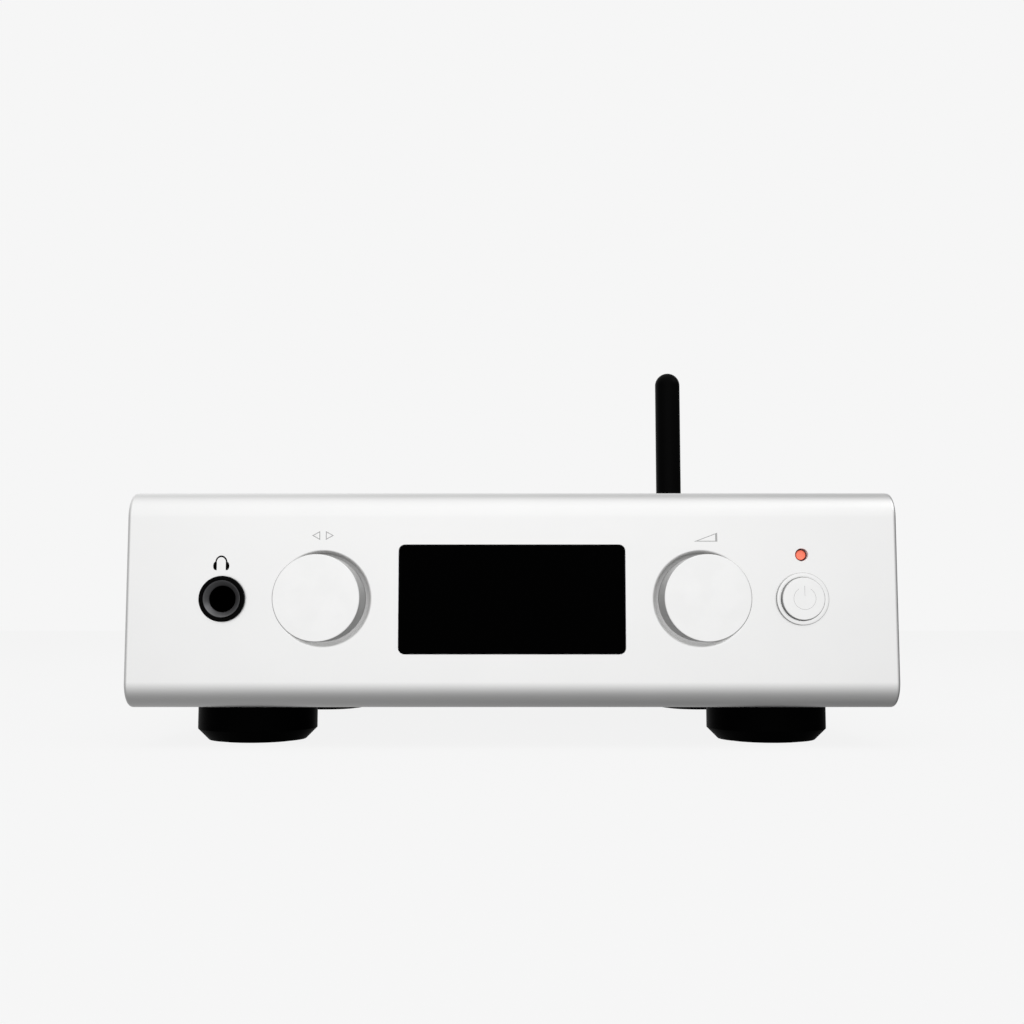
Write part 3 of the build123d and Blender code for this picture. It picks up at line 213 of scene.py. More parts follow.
class Skin:
    """The surface of one piece, in millimetres, gathered from grids of points and flat fills.

    Each method that adds to the surface returns the skin itself, so calls can follow each other.
    """

    def __init__(self) -> None:
        """Start with no points and no faces."""
        self.points: list[np.ndarray] = []
        self.faces: list[list[int]] = []
        self.count = 0

    def _add(self, points: np.ndarray) -> int:
        """Keep some points.

        Args:
            points: Array whose last axis has three values.

        Returns:
            The number of the first of them.
        """
        first = self.count
        self.points.append(points.reshape(-1, 3))
        self.count += len(self.points[-1])
        return first

    def grid(self, rows: np.ndarray, closed: bool = True) -> Skin:
        """Join neighbouring rows of points by quads.

        Args:
            rows: Array of (rows, columns, 3).
            closed: Whether the last column joins the first.

        Returns:
            The skin itself.
        """
        height, width = rows.shape[:2]
        index = self._add(rows) + np.arange(height * width).reshape(height, width)
        if closed:
            index = np.concatenate([index, index[:, :1]], axis=1)
        quads = np.stack([index[:-1, :-1], index[:-1, 1:], index[1:, 1:], index[1:, :-1]], axis=-1)
        self.faces += quads.reshape(-1, 4).tolist()
        return self

    def loft(self, *outlines: tuple[np.ndarray, float]) -> Skin:
        """Join upright outlines of equal length, each at its depth, into a closed wall."""
        return self.grid(np.stack([at_depth(outline, depth) for outline, depth in outlines]))

    def fill(self, outer: np.ndarray, *holes: np.ndarray) -> Skin:
        """Fill a flat outline, leaving its holes open.

        Args:
            outer: Array of (points, 3).
            *holes: Arrays of the same form, each inside the outline.

        Returns:
            The skin itself.
        """
        loops = [outer, *holes]
        flat = np.argsort(np.ptp(outer, axis=0))[1:]
        triangles = tessellate_polygon([[(*point[flat], 0.0) for point in loop] for loop in loops])
        first = self._add(np.concatenate(loops))
        self.faces += [[first + corner for corner in triangle] for triangle in triangles]
        return self

    def web(self, depth: float, outer: np.ndarray, *holes: np.ndarray) -> Skin:
        """Fill an upright outline at a depth, leaving its holes open."""
        return self.fill(at_depth(outer, depth), *[at_depth(hole, depth) for hole in holes])

    def step(self, outline: np.ndarray, start: float, stop: float, *holes: np.ndarray) -> Skin:
        """Add a flat ledge at a start, open at its holes, and a straight wall from its edge to a stop."""
        return self.web(start, outline, *holes).loft((outline, start), (outline, stop))

    def prism(self, low: float, high: float, outer: np.ndarray, *holes: np.ndarray) -> Skin:
        """Add an upright outline drawn out between two depths, closed at both ends, with holes right through.

        Args:
            low: The depth of its front.
            high: The depth of its back.
            outer: Array of (points, 2).
            *holes: Arrays of the same form, each inside the outline.

        Returns:
            The skin itself.
        """
        for loop in (outer, *holes):
            self.loft((loop, low), (loop, high))
        return self.web(low, outer, *holes).web(high, outer, *holes)

    def bar(self, low: Sequence[float], high: Sequence[float]) -> Skin:
        """Add a box between its lowest and its highest corner, each given as (x, depth, z)."""
        centre = ((low[0] + high[0]) / 2, (low[2] + high[2]) / 2)
        return self.prism(low[1], high[1], frame(centre, (high[0] - low[0], high[2] - low[2])))

    def turned(
        self,
        profile: Sequence[Sequence[float]] | np.ndarray,
        centre: Place,
        axis: Axis = Axis.DEPTH,
        count: int = 96,
        steps: int = 4,
        wobble: float | np.ndarray = 0.0,
    ) -> Skin:
        """Turn a profile about an axis.

        A point is its radius times (cosine, sine) of the angle, at its place along the axis.

        Args:
            profile: Corners as (radius, along, rounding), or a finished array of (radius, along); along is a
                depth or a height.
            centre: The axis as (x, z) for a depth axis, or (x, y) for a height axis.
            axis: The axis to turn about.
            count: How many points go round.
            steps: How many spans the arc of a rounded corner has.
            wobble: What is added to the radius, an array of (profile points, count).

        Returns:
            The skin itself.
        """
        drawn = profile if isinstance(profile, np.ndarray) else softened(profile, steps)
        angle = np.linspace(0, 2 * math.pi, count, endpoint=False)
        radius = drawn[:, :1] + wobble
        first = centre[0] + radius * np.cos(angle)
        second = centre[1] + radius * np.sin(angle)
        along = np.broadcast_to(drawn[:, 1:], first.shape)
        if axis is Axis.DEPTH:
            return self.grid(np.stack([first, along + PANEL_FACE_Y, second], axis=2))
        return self.grid(np.stack([first, second, along], axis=2))

    def mesh(self, name: str) -> bpy.types.Mesh:
        """Make the Blender mesh: merge what coincides and turn every face outwards.

        Args:
            name: The mesh's name.

        Returns:
            The mesh, in metres.
        """
        mesh = bpy.data.meshes.new(name)
        mesh.from_pydata((np.concatenate(self.points) * MM).tolist(), [], self.faces)
        form = bmesh.new()
        form.from_mesh(mesh)
        bmesh.ops.remove_doubles(form, verts=form.verts, dist=MERGE_M)
        bmesh.ops.dissolve_degenerate(form, edges=form.edges, dist=MERGE_M / 20)
        bmesh.ops.recalc_face_normals(form, faces=form.faces)
        form.to_mesh(mesh)
        form.free()
        return mesh


# Shader maths


class Signal:
    """A socket of a node tree; arithmetic on it adds Math nodes."""

    def __init__(self, recipe: Recipe, socket: bpy.types.NodeSocket) -> None:
        """Hold the socket and the recipe that its node belongs to."""
        self.recipe = recipe
        self.socket = socket

    def __add__(self, other: Any) -> Signal:
        """Sum."""
        return self.recipe.maths("ADD", self, other)

    def __radd__(self, other: Any) -> Signal:
        """Reflected sum."""
        return self.recipe.maths("ADD", other, self)

    def __sub__(self, other: Any) -> Signal:
        """Difference."""
        return self.recipe.maths("SUBTRACT", self, other)

    def __rsub__(self, other: Any) -> Signal:
        """Reflected difference."""
        return self.recipe.maths("SUBTRACT", other, self)

    def __mul__(self, other: Any) -> Signal:
        """Product."""
        return self.recipe.maths("MULTIPLY", self, other)

    def __rmul__(self, other: Any) -> Signal:
        """Reflected product."""
        return self.recipe.maths("MULTIPLY", other, self)

    def __truediv__(self, other: Any) -> Signal:
        """Quotient."""
        return self.recipe.maths("DIVIDE", self, other)

    def __rtruediv__(self, other: Any) -> Signal:
        """Reflected quotient."""
        return self.recipe.maths("DIVIDE", other, self)

    def __gt__(self, other: Any) -> Signal:
        """1 where this is the larger, else 0."""
        return self.recipe.maths("GREATER_THAN", self, other)

    def __lt__(self, other: Any) -> Signal:
        """1 where this is the smaller, else 0."""
        return self.recipe.maths("LESS_THAN", self, other)

    def __mod__(self, other: Any) -> Signal:
        """Remainder, never negative."""
        return self.recipe.maths("FLOORED_MODULO", self, other)

    def __abs__(self) -> Signal:
        """Size without its sign."""
        return self.recipe.maths("ABSOLUTE", self)

    def eased(self, low: float, high: float) -> Signal:
        """Smooth step from 0 at low to 1 at high."""
        sockets = {"Value": self, 1: low, 2: high}
        return self.recipe.signal("ShaderNodeMapRange", {"interpolation_type": "SMOOTHSTEP"}, sockets)


class Recipe:
    """A node tree and the few moves that build it."""

    def __init__(self, owner: bpy.types.Material | bpy.types.World) -> None:
        """Take over the owner's node tree and empty it.

        Args:
            owner: The material or world to write.
        """
        owner.use_nodes = True
        self.tree = owner.node_tree
        self.tree.nodes.clear()

    def node(self, kind: str, settings: Inputs = None, sockets: Inputs = None) -> Any:
        """Add any node: its settings first, then the values or links of its sockets.

        Args:
            kind: The node's type.
            settings: Attributes by name; "stops" gives a ramp's stops as (place, grey).
            sockets: Values, signals or sockets by input name or number.

        Returns:
            The node.
        """
        node = self.tree.nodes.new(kind)
        for name, value in (settings or {}).items():
            if name == "stops":
                elements = node.color_ramp.elements
                while len(elements) < len(value):
                    elements.new(1.0)
                for element, (place, grey) in zip(elements, value):
                    element.position = place
                    element.color = (grey, grey, grey, 1.0)
            else:
                setattr(node, name, value)
        for name, value in (sockets or {}).items():
            source = value.socket if isinstance(value, Signal) else value
            if isinstance(source, bpy.types.NodeSocket):
                self.tree.links.new(source, node.inputs[name])
            else:
                node.inputs[name].default_value = source
        return node

    def signal(self, kind: str, settings: Inputs = None, sockets: Inputs = None, output: Any = 0) -> Signal:
        """Add any node and return one of its outputs, by name or number, as a signal."""
        return Signal(self, self.node(kind, settings, sockets).outputs[output])

    def maths(self, operation: str, *values: Any) -> Signal:
        """Add one Math node on one or two values."""
        return self.signal("ShaderNodeMath", {"operation": operation}, dict(enumerate(values)))

    def place(self) -> Signal:
        """Object coordinates in metres."""
        return self.signal("ShaderNodeTexCoord", output="Object")

    def parts(self, vector: Signal) -> tuple[Signal, Signal, Signal]:
        """Split a vector into its three values."""
        node = self.node("ShaderNodeSeparateXYZ", sockets={0: vector})
        return tuple(Signal(self, output) for output in node.outputs)

    def radius(self, axis: Place) -> Signal:
        """Distance from a depth axis: the root of the sum of the two squares.

        Args:
            axis: The axis as (x, z) in millimetres.

        Returns:
            The distance in millimetres.
        """
        x, _, z = self.parts(self.place())
        across, up = x / MM - axis[0], z / MM - axis[1]
        return self.maths("SQRT", across * across + up * up)

    def depth(self) -> Signal:
        """Depth behind the panel's face in millimetres."""
        return self.parts(self.place())[1] / MM - PANEL_FACE_Y

    def noise(self, grain_mm: float, detail: float = 2.0, squeeze: Colour = (1, 1, 1)) -> Signal:
        """Noise whose lumps are about as large as a grain.

        Args:
            grain_mm: The size of a lump in millimetres.
            detail: How many finer layers of noise are laid over it.
            squeeze: The scale along x, y and z; a small one draws the lumps out along that axis.

        Returns:
            The noise, from 0 to 1 with its middle at a half.
        """
        where = self.signal("ShaderNodeMapping", sockets={"Vector": self.place(), "Scale": squeeze})
        sockets = {"Vector": where, "Scale": 1 / (grain_mm * MM), "Detail": detail}
        return self.signal("ShaderNodeTexNoise", sockets=sockets)

    def drift(self, middle: float, *noises: tuple[Signal, float]) -> Signal:
        """Value that drifts: its middle, plus each noise's distance from a half times an amount.

        Args:
            middle: The value where every noise is at its half.
            *noises: Each noise with its amount.

        Returns:
            The drifting value.
        """
        value: Any = middle - sum(amount for _, amount in noises) / 2
        for noise, amount in noises:
            value = noise * amount + value
        return value

    def ramp(self, value: Signal, stops: Sequence[Place]) -> Signal:
        """Grey by a value, along stops of (place, grey)."""
        return self.signal("ShaderNodeValToRGB", {"stops": stops}, {0: value})

    def mix(self, share: Any, first: Any, second: Any) -> Signal:
        """Colour between two colours by a share.

        Args:
            share: The share of the second colour.
            first: The first colour, a signal or three channels.
            second: The second colour.

        Returns:
            The mixed colour.
        """
        pick = [(*shade, 1.0) if isinstance(shade, tuple) else shade for shade in (first, second)]
        sockets = {0: share, 6: pick[0], 7: pick[1]}
        return self.signal("ShaderNodeMix", {"data_type": "RGBA"}, sockets, output=2)

    def bump(self, height: Signal, relief_mm: float) -> Signal:
        """Surface normal bent by a height from 0 to 1, whose full relief is given in millimetres."""
        sockets = {"Strength": 1.0, "Distance": relief_mm * MM, "Height": height}
        return self.signal("ShaderNodeBump", sockets=sockets)

    def shade(self, sockets: dict[str, Any]) -> None:
        """Finish with a Principled shader that takes these sockets."""
        surface = self.node("ShaderNodeBsdfPrincipled", sockets=sockets)
        self.node("ShaderNodeOutputMaterial", sockets={0: surface.outputs[0]})


# Finishes


def scaled(colour: Colour, share: float) -> Colour:
    """Colour made darker or paler: each channel times a share, and at most 1."""
    return tuple(min(1.0, share * channel) for channel in colour)


@dataclass(frozen=True)
class Finish:
    """What a surface is made of; a finish makes its material once."""

    name: str
    slot: str

    def write(self, recipe: Recipe) -> None:
        """Write the material; every finish has its own way.

        Args:
            recipe: The material's recipe.
        """
        raise NotImplementedError

    def material(self) -> bpy.types.Material:
        """Make the material on first use.

        Returns:
            The material.
        """
        material = bpy.data.materials.get(self.name)
        if material is None:
            material = bpy.data.materials.new(self.name)
            self.write(Recipe(material))
        return material


@dataclass(frozen=True)
class Well:
    """A round recess in the front: its axis as (x, z), the reach of its matt wall, and that wall's colour,
    painted shade where it is darker than the metal.
    """

    at: Place
    radius: float
    matt: Colour


@dataclass(frozen=True)
class BlastedAluminium(Finish):
    """Bead-blasted, anodised aluminium: fine pits in the relief, faint clouds in colour and gloss.

    Inside the wells the metal is matt and scatters light; the knob wells' darker grey is painted shade of the
    recess.
    """

    colour: Colour = (0.93, 0.93, 0.927)
    roughness: float = 0.38
    pit_mm: float = 0.16
    relief_mm: float = 0.0016
    cloud_mm: float = 14.0
    cloud_dim: float = 0.985
    wells: tuple[Well, ...] = ()
    matt_share: float = 0.8
    matt_depths: Place = (0.01, 0.32)

    def write(self, recipe: Recipe) -> None:
        """Pits from fine noise bend the normal; slow noise shifts colour and roughness by about a hundredth.

        Args:
            recipe: The material's recipe.
        """
        cloud = recipe.noise(self.cloud_mm, 3.0)
        pits = recipe.noise(self.pit_mm, 1.0)
        colour = recipe.mix(cloud.eased(0.3, 0.7), scaled(self.colour, self.cloud_dim), self.colour)
        metallic: Any = 1.0
        for well in self.wells:
            inside = (recipe.radius(well.at) < well.radius) * recipe.depth().eased(*self.matt_depths)
            # Inside each well the colour turns to the well's colour; in the knob wells that darker grey is
            # painted shade
            colour = recipe.mix(inside, colour, well.matt)
            metallic = metallic - inside * self.matt_share
        recipe.shade({
            "Base Color": colour,
            "Metallic": metallic,
            "Roughness": recipe.drift(self.roughness, (cloud, 0.03), (pits, 0.02)),
            "Normal": recipe.bump(pits, self.relief_mm),
        })


@dataclass(frozen=True)
class TurnedAluminium(Finish):
    """Turned and anodised aluminium: rings round a depth axis that a fine tool has left, and a matt side
    painted darker as shade.
    """

    axis: Place = (0.0, 0.0)
    side_radius: float = 10.45
    colour: Colour = (0.93, 0.93, 0.927)
    # Colour of the matt side, darkened as painted shade
    matt: Colour = (0.38, 0.38, 0.377)
    roughness: float = 0.36
    pitch_mm: float = 0.12
    relief_mm: float = 0.0008
    cloud_mm: float = 6.0

    def write(self, recipe: Recipe) -> None:
        """Rings are a wave on the radius plus the depth; the side begins where the bevel ends.

        Args:
            recipe: The material's recipe.
        """
        radius = recipe.radius(self.axis)
        wave = recipe.maths("SINE", (radius + recipe.depth()) * (2 * math.pi / self.pitch_mm))
        cloud = recipe.noise(self.cloud_mm)
        # The side is made matt and painted darker: painted shade on the side of the knob, button and bezel
        side = radius.eased(self.side_radius - 0.2, self.side_radius - 0.03)
        face = recipe.mix(cloud.eased(0.3, 0.7), scaled(self.colour, 0.97), self.colour)
        recipe.shade({
            "Base Color": recipe.mix(side, face, self.matt),
            "Metallic": 1.0 - side * 0.9,
            "Roughness": recipe.drift(self.roughness, (cloud, 0.03)) + wave * 0.008 + side * 0.2,
            "Normal": recipe.bump(wave * 0.5 + cloud, self.relief_mm),
        })


@dataclass(frozen=True)
class PlatedMetal(Finish):
    """Plated or machined metal: bright, with fine scratches and slight tarnish."""

    colour: Colour
    tarnish: Colour
    roughness: float = 0.3
    scratch_mm: float = 0.3
    scratch_run: Colour = (1, 0.15, 1)
    stain_mm: float = 3.0
    relief_mm: float = 0.0008

    def write(self, recipe: Recipe) -> None:
        """Stretched noise gives scratches; broad noise gives tarnish.

        Args:
            recipe: The material's recipe.
        """
        scratch = recipe.noise(self.scratch_mm, 2.0, self.scratch_run)
        stain = recipe.noise(self.stain_mm, 3.0)
        recipe.shade({
            "Base Color": recipe.mix(stain.eased(0.5, 0.75), self.colour, self.tarnish),
            "Metallic": 1.0,
            "Roughness": recipe.drift(self.roughness, (scratch, 0.08), (stain, 0.06)),
            "Normal": recipe.bump(scratch, self.relief_mm),
        })


@dataclass(frozen=True)
class MouldedPlastic(Finish):
    """Moulded plastic: the mould's fine grain, and gloss that varies a little."""

    colour: Colour
    roughness: float = 0.45
    specular: float = 0.5
    grain_mm: float = 0.25
    relief_mm: float = 0.004
    drift_mm: float = 8.0

    def write(self, recipe: Recipe) -> None:
        """Fine noise is the mould's grain; broad noise shifts colour and gloss.

        Args:
            recipe: The material's recipe.
        """
        grain = recipe.noise(self.grain_mm)
        drift = recipe.noise(self.drift_mm)
        recipe.shade({
            "Base Color": recipe.mix(drift.eased(0.35, 0.7), self.colour, scaled(self.colour, 1.25)),
            "Roughness": recipe.drift(self.roughness, (grain, 0.08), (drift, 0.06)),
            "Specular IOR Level": self.specular,
            "Normal": recipe.bump(grain, self.relief_mm),
        })


@dataclass(frozen=True)
class SocketMoulding(MouldedPlastic):
    """Black socket whose countersunk mouth has a dark plating."""

    axis: Place = (0.0, 0.0)
    mouth_radius: float = 4.5
    mouth_depth: float = 0.5
    plating: Colour = (0.15, 0.15, 0.155)
    ring_rate: float = 40.0

    def write(self, recipe: Recipe) -> None:
        """The mouth is where the radius and the depth are small; turning marks are a wave on the radius.

        Args:
            recipe: The material's recipe.
        """
        radius = recipe.radius(self.axis)
        mouth = (radius < self.mouth_radius) * (recipe.depth() < self.mouth_depth)
        grain = recipe.noise(self.grain_mm)
        rings = recipe.maths("SINE", radius * self.ring_rate)
        recipe.shade({
            "Base Color": recipe.mix(mouth, self.colour, self.plating),
            "Metallic": mouth * 0.85,
            "Roughness": recipe.drift(self.roughness, (grain, 0.08)) - mouth * 0.12,
            "Specular IOR Level": self.specular,
            "Normal": recipe.bump(grain + rings * mouth * 0.4, self.relief_mm),
        })


@dataclass(frozen=True)
class SmokedWindow(Finish):
    """Black acrylic: deep and even, with the faintest smear in its gloss."""

    colour: Colour = (0.00015, 0.00015, 0.00016)
    roughness: float = 0.07
    specular: float = 0.006
    smear_mm: float = 9.0
    smear_run: Colour = (1, 1, 0.4)

    def write(self, recipe: Recipe) -> None:
        """Broad noise smears the gloss.

        Args:
            recipe: The material's recipe.
        """
        smear = recipe.noise(self.smear_mm, 4.0, self.smear_run)
        recipe.shade({
            "Base Color": recipe.mix(smear, self.colour, scaled(self.colour, 1.4)),
            "Roughness": smear * 0.05 + (self.roughness - 0.02),
            "Specular IOR Level": self.specular,
        })


@dataclass(frozen=True)
class GlowingLens(Finish):
    """Red diffusing lamp: brighter in the middle of its face."""

    axis: Place = (0.0, 0.0)
    core: Colour = (0.84, 0.185, 0.11)
    rim: Colour = (0.5, 0.01, 0.008)
    strength: float = 0.42
    haze_mm: float = 0.5

    def write(self, recipe: Recipe) -> None:
        """Colour goes from core to rim with the distance from the lamp's axis; the side doesn't glow.

        Args:
            recipe: The material's recipe.
        """
        haze = recipe.noise(self.haze_mm)
        away = recipe.radius(self.axis)
        recipe.shade({
            "Base Color": recipe.mix(away.eased(1.08, 1.24) + haze * 0.08, self.core, self.rim),
            "Roughness": haze * 0.1 + 0.25,
            "Emission Color": recipe.mix(away.eased(1.1, 1.22), self.core, (0.0, 0.0, 0.0)),
            "Emission Strength": self.strength,
        })


@dataclass(frozen=True)
class PrintedInk(Finish):
    """Screen-printed ink: matt, a little uneven."""

    colour: Colour
    specular: float = 0.3
    thin_mm: float = 0.2

    def write(self, recipe: Recipe) -> None:
        """Fine noise thins the ink here and there.

        Args:
            recipe: The material's recipe.
        """
        thin = recipe.noise(self.thin_mm)
        recipe.shade({
            "Base Color": recipe.mix(thin.eased(0.45, 0.75), self.colour, scaled(self.colour, 1.2)),
            "Roughness": thin * 0.1 + 0.5,
            "Specular IOR Level": self.specular,
        })


@dataclass(frozen=True)
class CircuitBoard(Finish):
    """Board with solder resist over copper tracks, and plated pads."""

    resist: Colour = (0.01, 0.07, 0.03)
    track: Colour = (0.03, 0.16, 0.06)
    plating: Colour = (0.75, 0.72, 0.62)
    pitch_mm: float = 2.54
    cell_mm: float = 5.0
    pad_share: float = 0.14

    def write(self, recipe: Recipe) -> None:
        """Tracks are the edges of large squarish cells; pads are dots on a grid of the pins' pitch.

        Args:
            recipe: The material's recipe.
        """
        cells = recipe.signal(
            "ShaderNodeTexVoronoi",
            {"feature": "DISTANCE_TO_EDGE", "distance": "EUCLIDEAN"},
            {"Vector": recipe.place(), "Scale": 1 / (self.cell_mm * MM), "Randomness": 0.6},
            output="Distance",
        )
        track = 1 - cells.eased(0.03, 0.06)
        x, y, z = recipe.parts(recipe.place())
        pitch = self.pitch_mm * MM
        near = [abs(value % pitch - pitch / 2) / pitch < self.pad_share for value in (x, y + z)]
        pad = near[0] * near[1] * (recipe.noise(9.0, 1.0) > 0.56)
        recipe.shade({
            "Base Color": recipe.mix(pad, recipe.mix(track, self.resist, self.track), self.plating),
            "Metallic": pad,
            "Roughness": 0.34 - pad * 0.06 + recipe.noise(3.0) * 0.06,
            "Normal": recipe.bump(track * 0.5 + pad, 0.03),
        })


@dataclass(frozen=True)
class WoundTape(Finish):
    """Insulating tape wound round a ring core: slanted overlapping turns with painted shade at each step, and
    a translucent gloss.
    """

    centre: Place = (0.0, 0.0)
    colour: Colour = (0.62, 0.4, 0.06)
    turns: int = 46
    slant: float = 30.0

    def write(self, recipe: Recipe) -> None:
        """A saw wave on the angle about the ring's axis gives each turn of tape its edge.

        Args:
            recipe: The material's recipe.
        """
        x, y, z = recipe.parts(recipe.place())
        angle = recipe.maths("ARCTAN2", y - self.centre[1] * MM, x - self.centre[0] * MM)
        turn = (angle * (self.turns / (2 * math.pi)) + z * self.slant) % 1.0
        grain = recipe.noise(0.8)
        # Each turn is painted darker just past its step: painted shade in the crease between turns
        pale = turn.eased(0.0, 0.12) * 0.7 + grain * 0.3
        recipe.shade({
            "Base Color": recipe.mix(pale, scaled(self.colour, 0.55), self.colour),
            "Roughness": grain * 0.12 + 0.28,
            "Normal": recipe.bump(turn, 0.12),
        })


@dataclass(frozen=True)
class ShrunkSleeve(Finish):
    """Shrink sleeve on capacitor cans: coloured sides, and a bare scored aluminium top."""

    colour: Colour = (0.01, 0.02, 0.09)
    stripe: Colour = (0.45, 0.5, 0.6)
    bare: Colour = (0.78, 0.78, 0.78)

    def write(self, recipe: Recipe) -> None:
        """The surface's own normal tells tops from sides; a band of the sides has the paler stripe.

        Args:
            recipe: The material's recipe.
        """
        nx, ny, nz = recipe.parts(recipe.signal("ShaderNodeNewGeometry", output="Normal"))
        top = nz.eased(0.6, 0.7)
        grain = recipe.noise(0.4)
        sides = recipe.mix(nx.eased(0.92, 0.95), self.colour, self.stripe)
        recipe.shade({
            "Base Color": recipe.mix(top, sides, self.bare),
            "Metallic": top,
            "Roughness": grain * 0.1 + 0.24 + ny * 0.02,
            "Normal": recipe.bump(grain, 0.004),
        })


@dataclass(frozen=True)
class FlatCable(Finish):
    """Grey ribbon cable: one ridge for each of its wires."""

    pitch_mm: float = 1.27
    colour: Colour = (0.35, 0.35, 0.36)
    first: Colour = (0.4, 0.02, 0.02)
    first_until_mm: float = 9.3

    def write(self, recipe: Recipe) -> None:
        """A cosine across the width is the row of wires; the first wire is red.

        Args:
            recipe: The material's recipe.
        """
        x, _, _ = recipe.parts(recipe.place())
        wave = recipe.maths("COSINE", x * (2 * math.pi / (self.pitch_mm * MM)))
        haze = recipe.noise(2.0)
        grey = recipe.mix(haze, self.colour, scaled(self.colour, 0.85))
        recipe.shade({
            "Base Color": recipe.mix(x < self.first_until_mm * MM, grey, self.first),
            "Roughness": haze * 0.1 + 0.4,
            "Normal": recipe.bump(wave, 0.15),
        })


# Colours that more than one finish takes
JET: Colour = (0.0003, 0.0003, 0.00033)
# Darker grey of the knob wells: painted shade of their recesses
WELL_PAINTED_SHADE_GREY: Colour = (0.51, 0.51, 0.507)


class Palette:
    """The finishes of the object's own parts."""

    CASE = BlastedAluminium("satin_case", "case_aluminium", (0.85, 0.85, 0.847))
    # The knob wells take a darker grey, painted shade of their recesses
    FRONT = BlastedAluminium("satin_front", "case_aluminium", wells=(
        Well(SELECT_AT, 12.3, WELL_PAINTED_SHADE_GREY),
        Well(VOLUME_AT, 12.3, WELL_PAINTED_SHADE_GREY),
        Well(LAMP_AT, 1.75, (0.93, 0.93, 0.927)),
    ))
    BLOCK = BlastedAluminium(
        "milled_block", "block_aluminium", (0.8, 0.8, 0.79), roughness=0.33, pit_mm=0.4, relief_mm=0.003
    )
    HEATSINK = BlastedAluminium(
        "black_anodising", "heatsink_black", (0.03, 0.03, 0.032), roughness=0.42, pit_mm=0.3
    )
    FOOT = MouldedPlastic("foot_moulding", "foot_plastic", JET, roughness=0.4, specular=0.01)
    PAD = MouldedPlastic(
        "pad_rubber_skin", "pad_rubber", (0.02, 0.02, 0.02),
        roughness=0.75, specular=0.3, grain_mm=0.5, relief_mm=0.01,
    )
    GASKET = MouldedPlastic(
        "gasket_skin", "gasket_foam", (0.02, 0.02, 0.022),
        roughness=0.9, specular=0.2, grain_mm=0.4, relief_mm=0.06,
    )
    BLACK = MouldedPlastic(
        "black_moulding", "black_plastic", (0.008, 0.008, 0.0085), roughness=0.48, specular=0.4
    )
    NUT = MouldedPlastic(
        "nut_moulding", "black_plastic", (0.0003, 0.0003, 0.0003), specular=0.04, grain_mm=0.2
    )
    ANTENNA = MouldedPlastic("antenna_moulding", "antenna_black", JET, roughness=0.42, specular=0.035)
    NYLON = MouldedPlastic("nylon_moulding", "spacer_nylon", (0.72, 0.71, 0.66), roughness=0.5, specular=0.4)
    SOCKET = SocketMoulding(
        "socket_moulding", "black_plastic", (0.0005, 0.0005, 0.0005),
        roughness=0.5, specular=0.05, grain_mm=0.2, axis=SOCKET_AT,
    )
    CORES = {
        "coax": MouldedPlastic("orange_insulator", "black_plastic", (0.8, 0.2, 0.02), roughness=0.35),
        "left": MouldedPlastic("white_insulator", "black_plastic", (0.75, 0.74, 0.71), roughness=0.35),
        "right": MouldedPlastic("red_insulator", "black_plastic", (0.55, 0.015, 0.012), roughness=0.35),
    }
    WINDOW = SmokedWindow("smoked_window", "window_black")
    GLASS = SmokedWindow(
        "display_module_glass", "display_glass", (0.01, 0.012, 0.014), roughness=0.1, specular=0.5
    )
    LENS = GlowingLens("lamp_lens", "lamp_red", LAMP_AT)
    BRASS = PlatedMetal("contact_plating", "contact_brass", (0.83, 0.61, 0.27), (0.6, 0.4, 0.17), 0.25)
    GOLD = PlatedMetal("gold_plating", "contact_brass", (0.9, 0.68, 0.32), (0.75, 0.53, 0.24), 0.2)
    SHAFT = PlatedMetal("shaft_turning", "shaft_steel", (0.6, 0.59, 0.57), (0.45, 0.44, 0.42))
    SCREW = PlatedMetal("screw_zinc", "screw_steel", (0.62, 0.62, 0.63), (0.45, 0.45, 0.45))
    SCREW_BLACK = PlatedMetal(
        "screw_blackened", "screw_steel", (0.035, 0.035, 0.037), (0.06, 0.055, 0.05), 0.4
    )
    SHELL = PlatedMetal("connector_plating", "connector_steel", (0.78, 0.76, 0.72), (0.6, 0.57, 0.52), 0.2)
    BOARD = CircuitBoard("tracked_board", "board_green")
    SLEEVE = ShrunkSleeve("capacitor_skin", "capacitor_sleeve")
    RIBBON = FlatCable("ribbon_skin", "ribbon_grey")
    BLACK_PRINT = PrintedInk("black_print", "black_plastic", (0.0004, 0.0004, 0.0004), specular=0.02)
    GREY_PRINT = PrintedInk("grey_print", "black_plastic", (0.4, 0.4, 0.4))
    POWER_PRINT = PrintedInk("power_mark_ink", "black_plastic", (0.5, 0.5, 0.5))


# Making pieces


def placed(name: str, data: Any) -> bpy.types.Object:
    """Put a new object into the scene.

    Args:
        name: The object's name.
        data: Its mesh, light or camera.

    Returns:
        The object.
    """
    made = bpy.data.objects.new(name, data)
    bpy.context.scene.collection.objects.link(made)
    return made


def carve(piece: bpy.types.Object, cutter: bpy.types.Mesh) -> None:
    """Cut a closed mesh out of a piece, and close any sliver that the cut leaves open.

    Args:
        piece: The object to cut.
        cutter: The mesh to cut away.
    """
    tool = placed(cutter.name, cutter)
    cut = piece.modifiers.new("carve", "BOOLEAN")
    cut.operation, cut.solver, cut.object = "DIFFERENCE", "EXACT", tool
    bpy.context.view_layer.update()
    result = bpy.data.meshes.new_from_object(piece.evaluated_get(bpy.context.evaluated_depsgraph_get()))
    form = bmesh.new()
    form.from_mesh(result)
    bmesh.ops.holes_fill(form, edges=form.edges, sides=4)
    bmesh.ops.recalc_face_normals(form, faces=form.faces)
    form.to_mesh(result)
    form.free()
    piece.modifiers.remove(cut)
    piece.data = result
    bpy.data.objects.remove(tool)


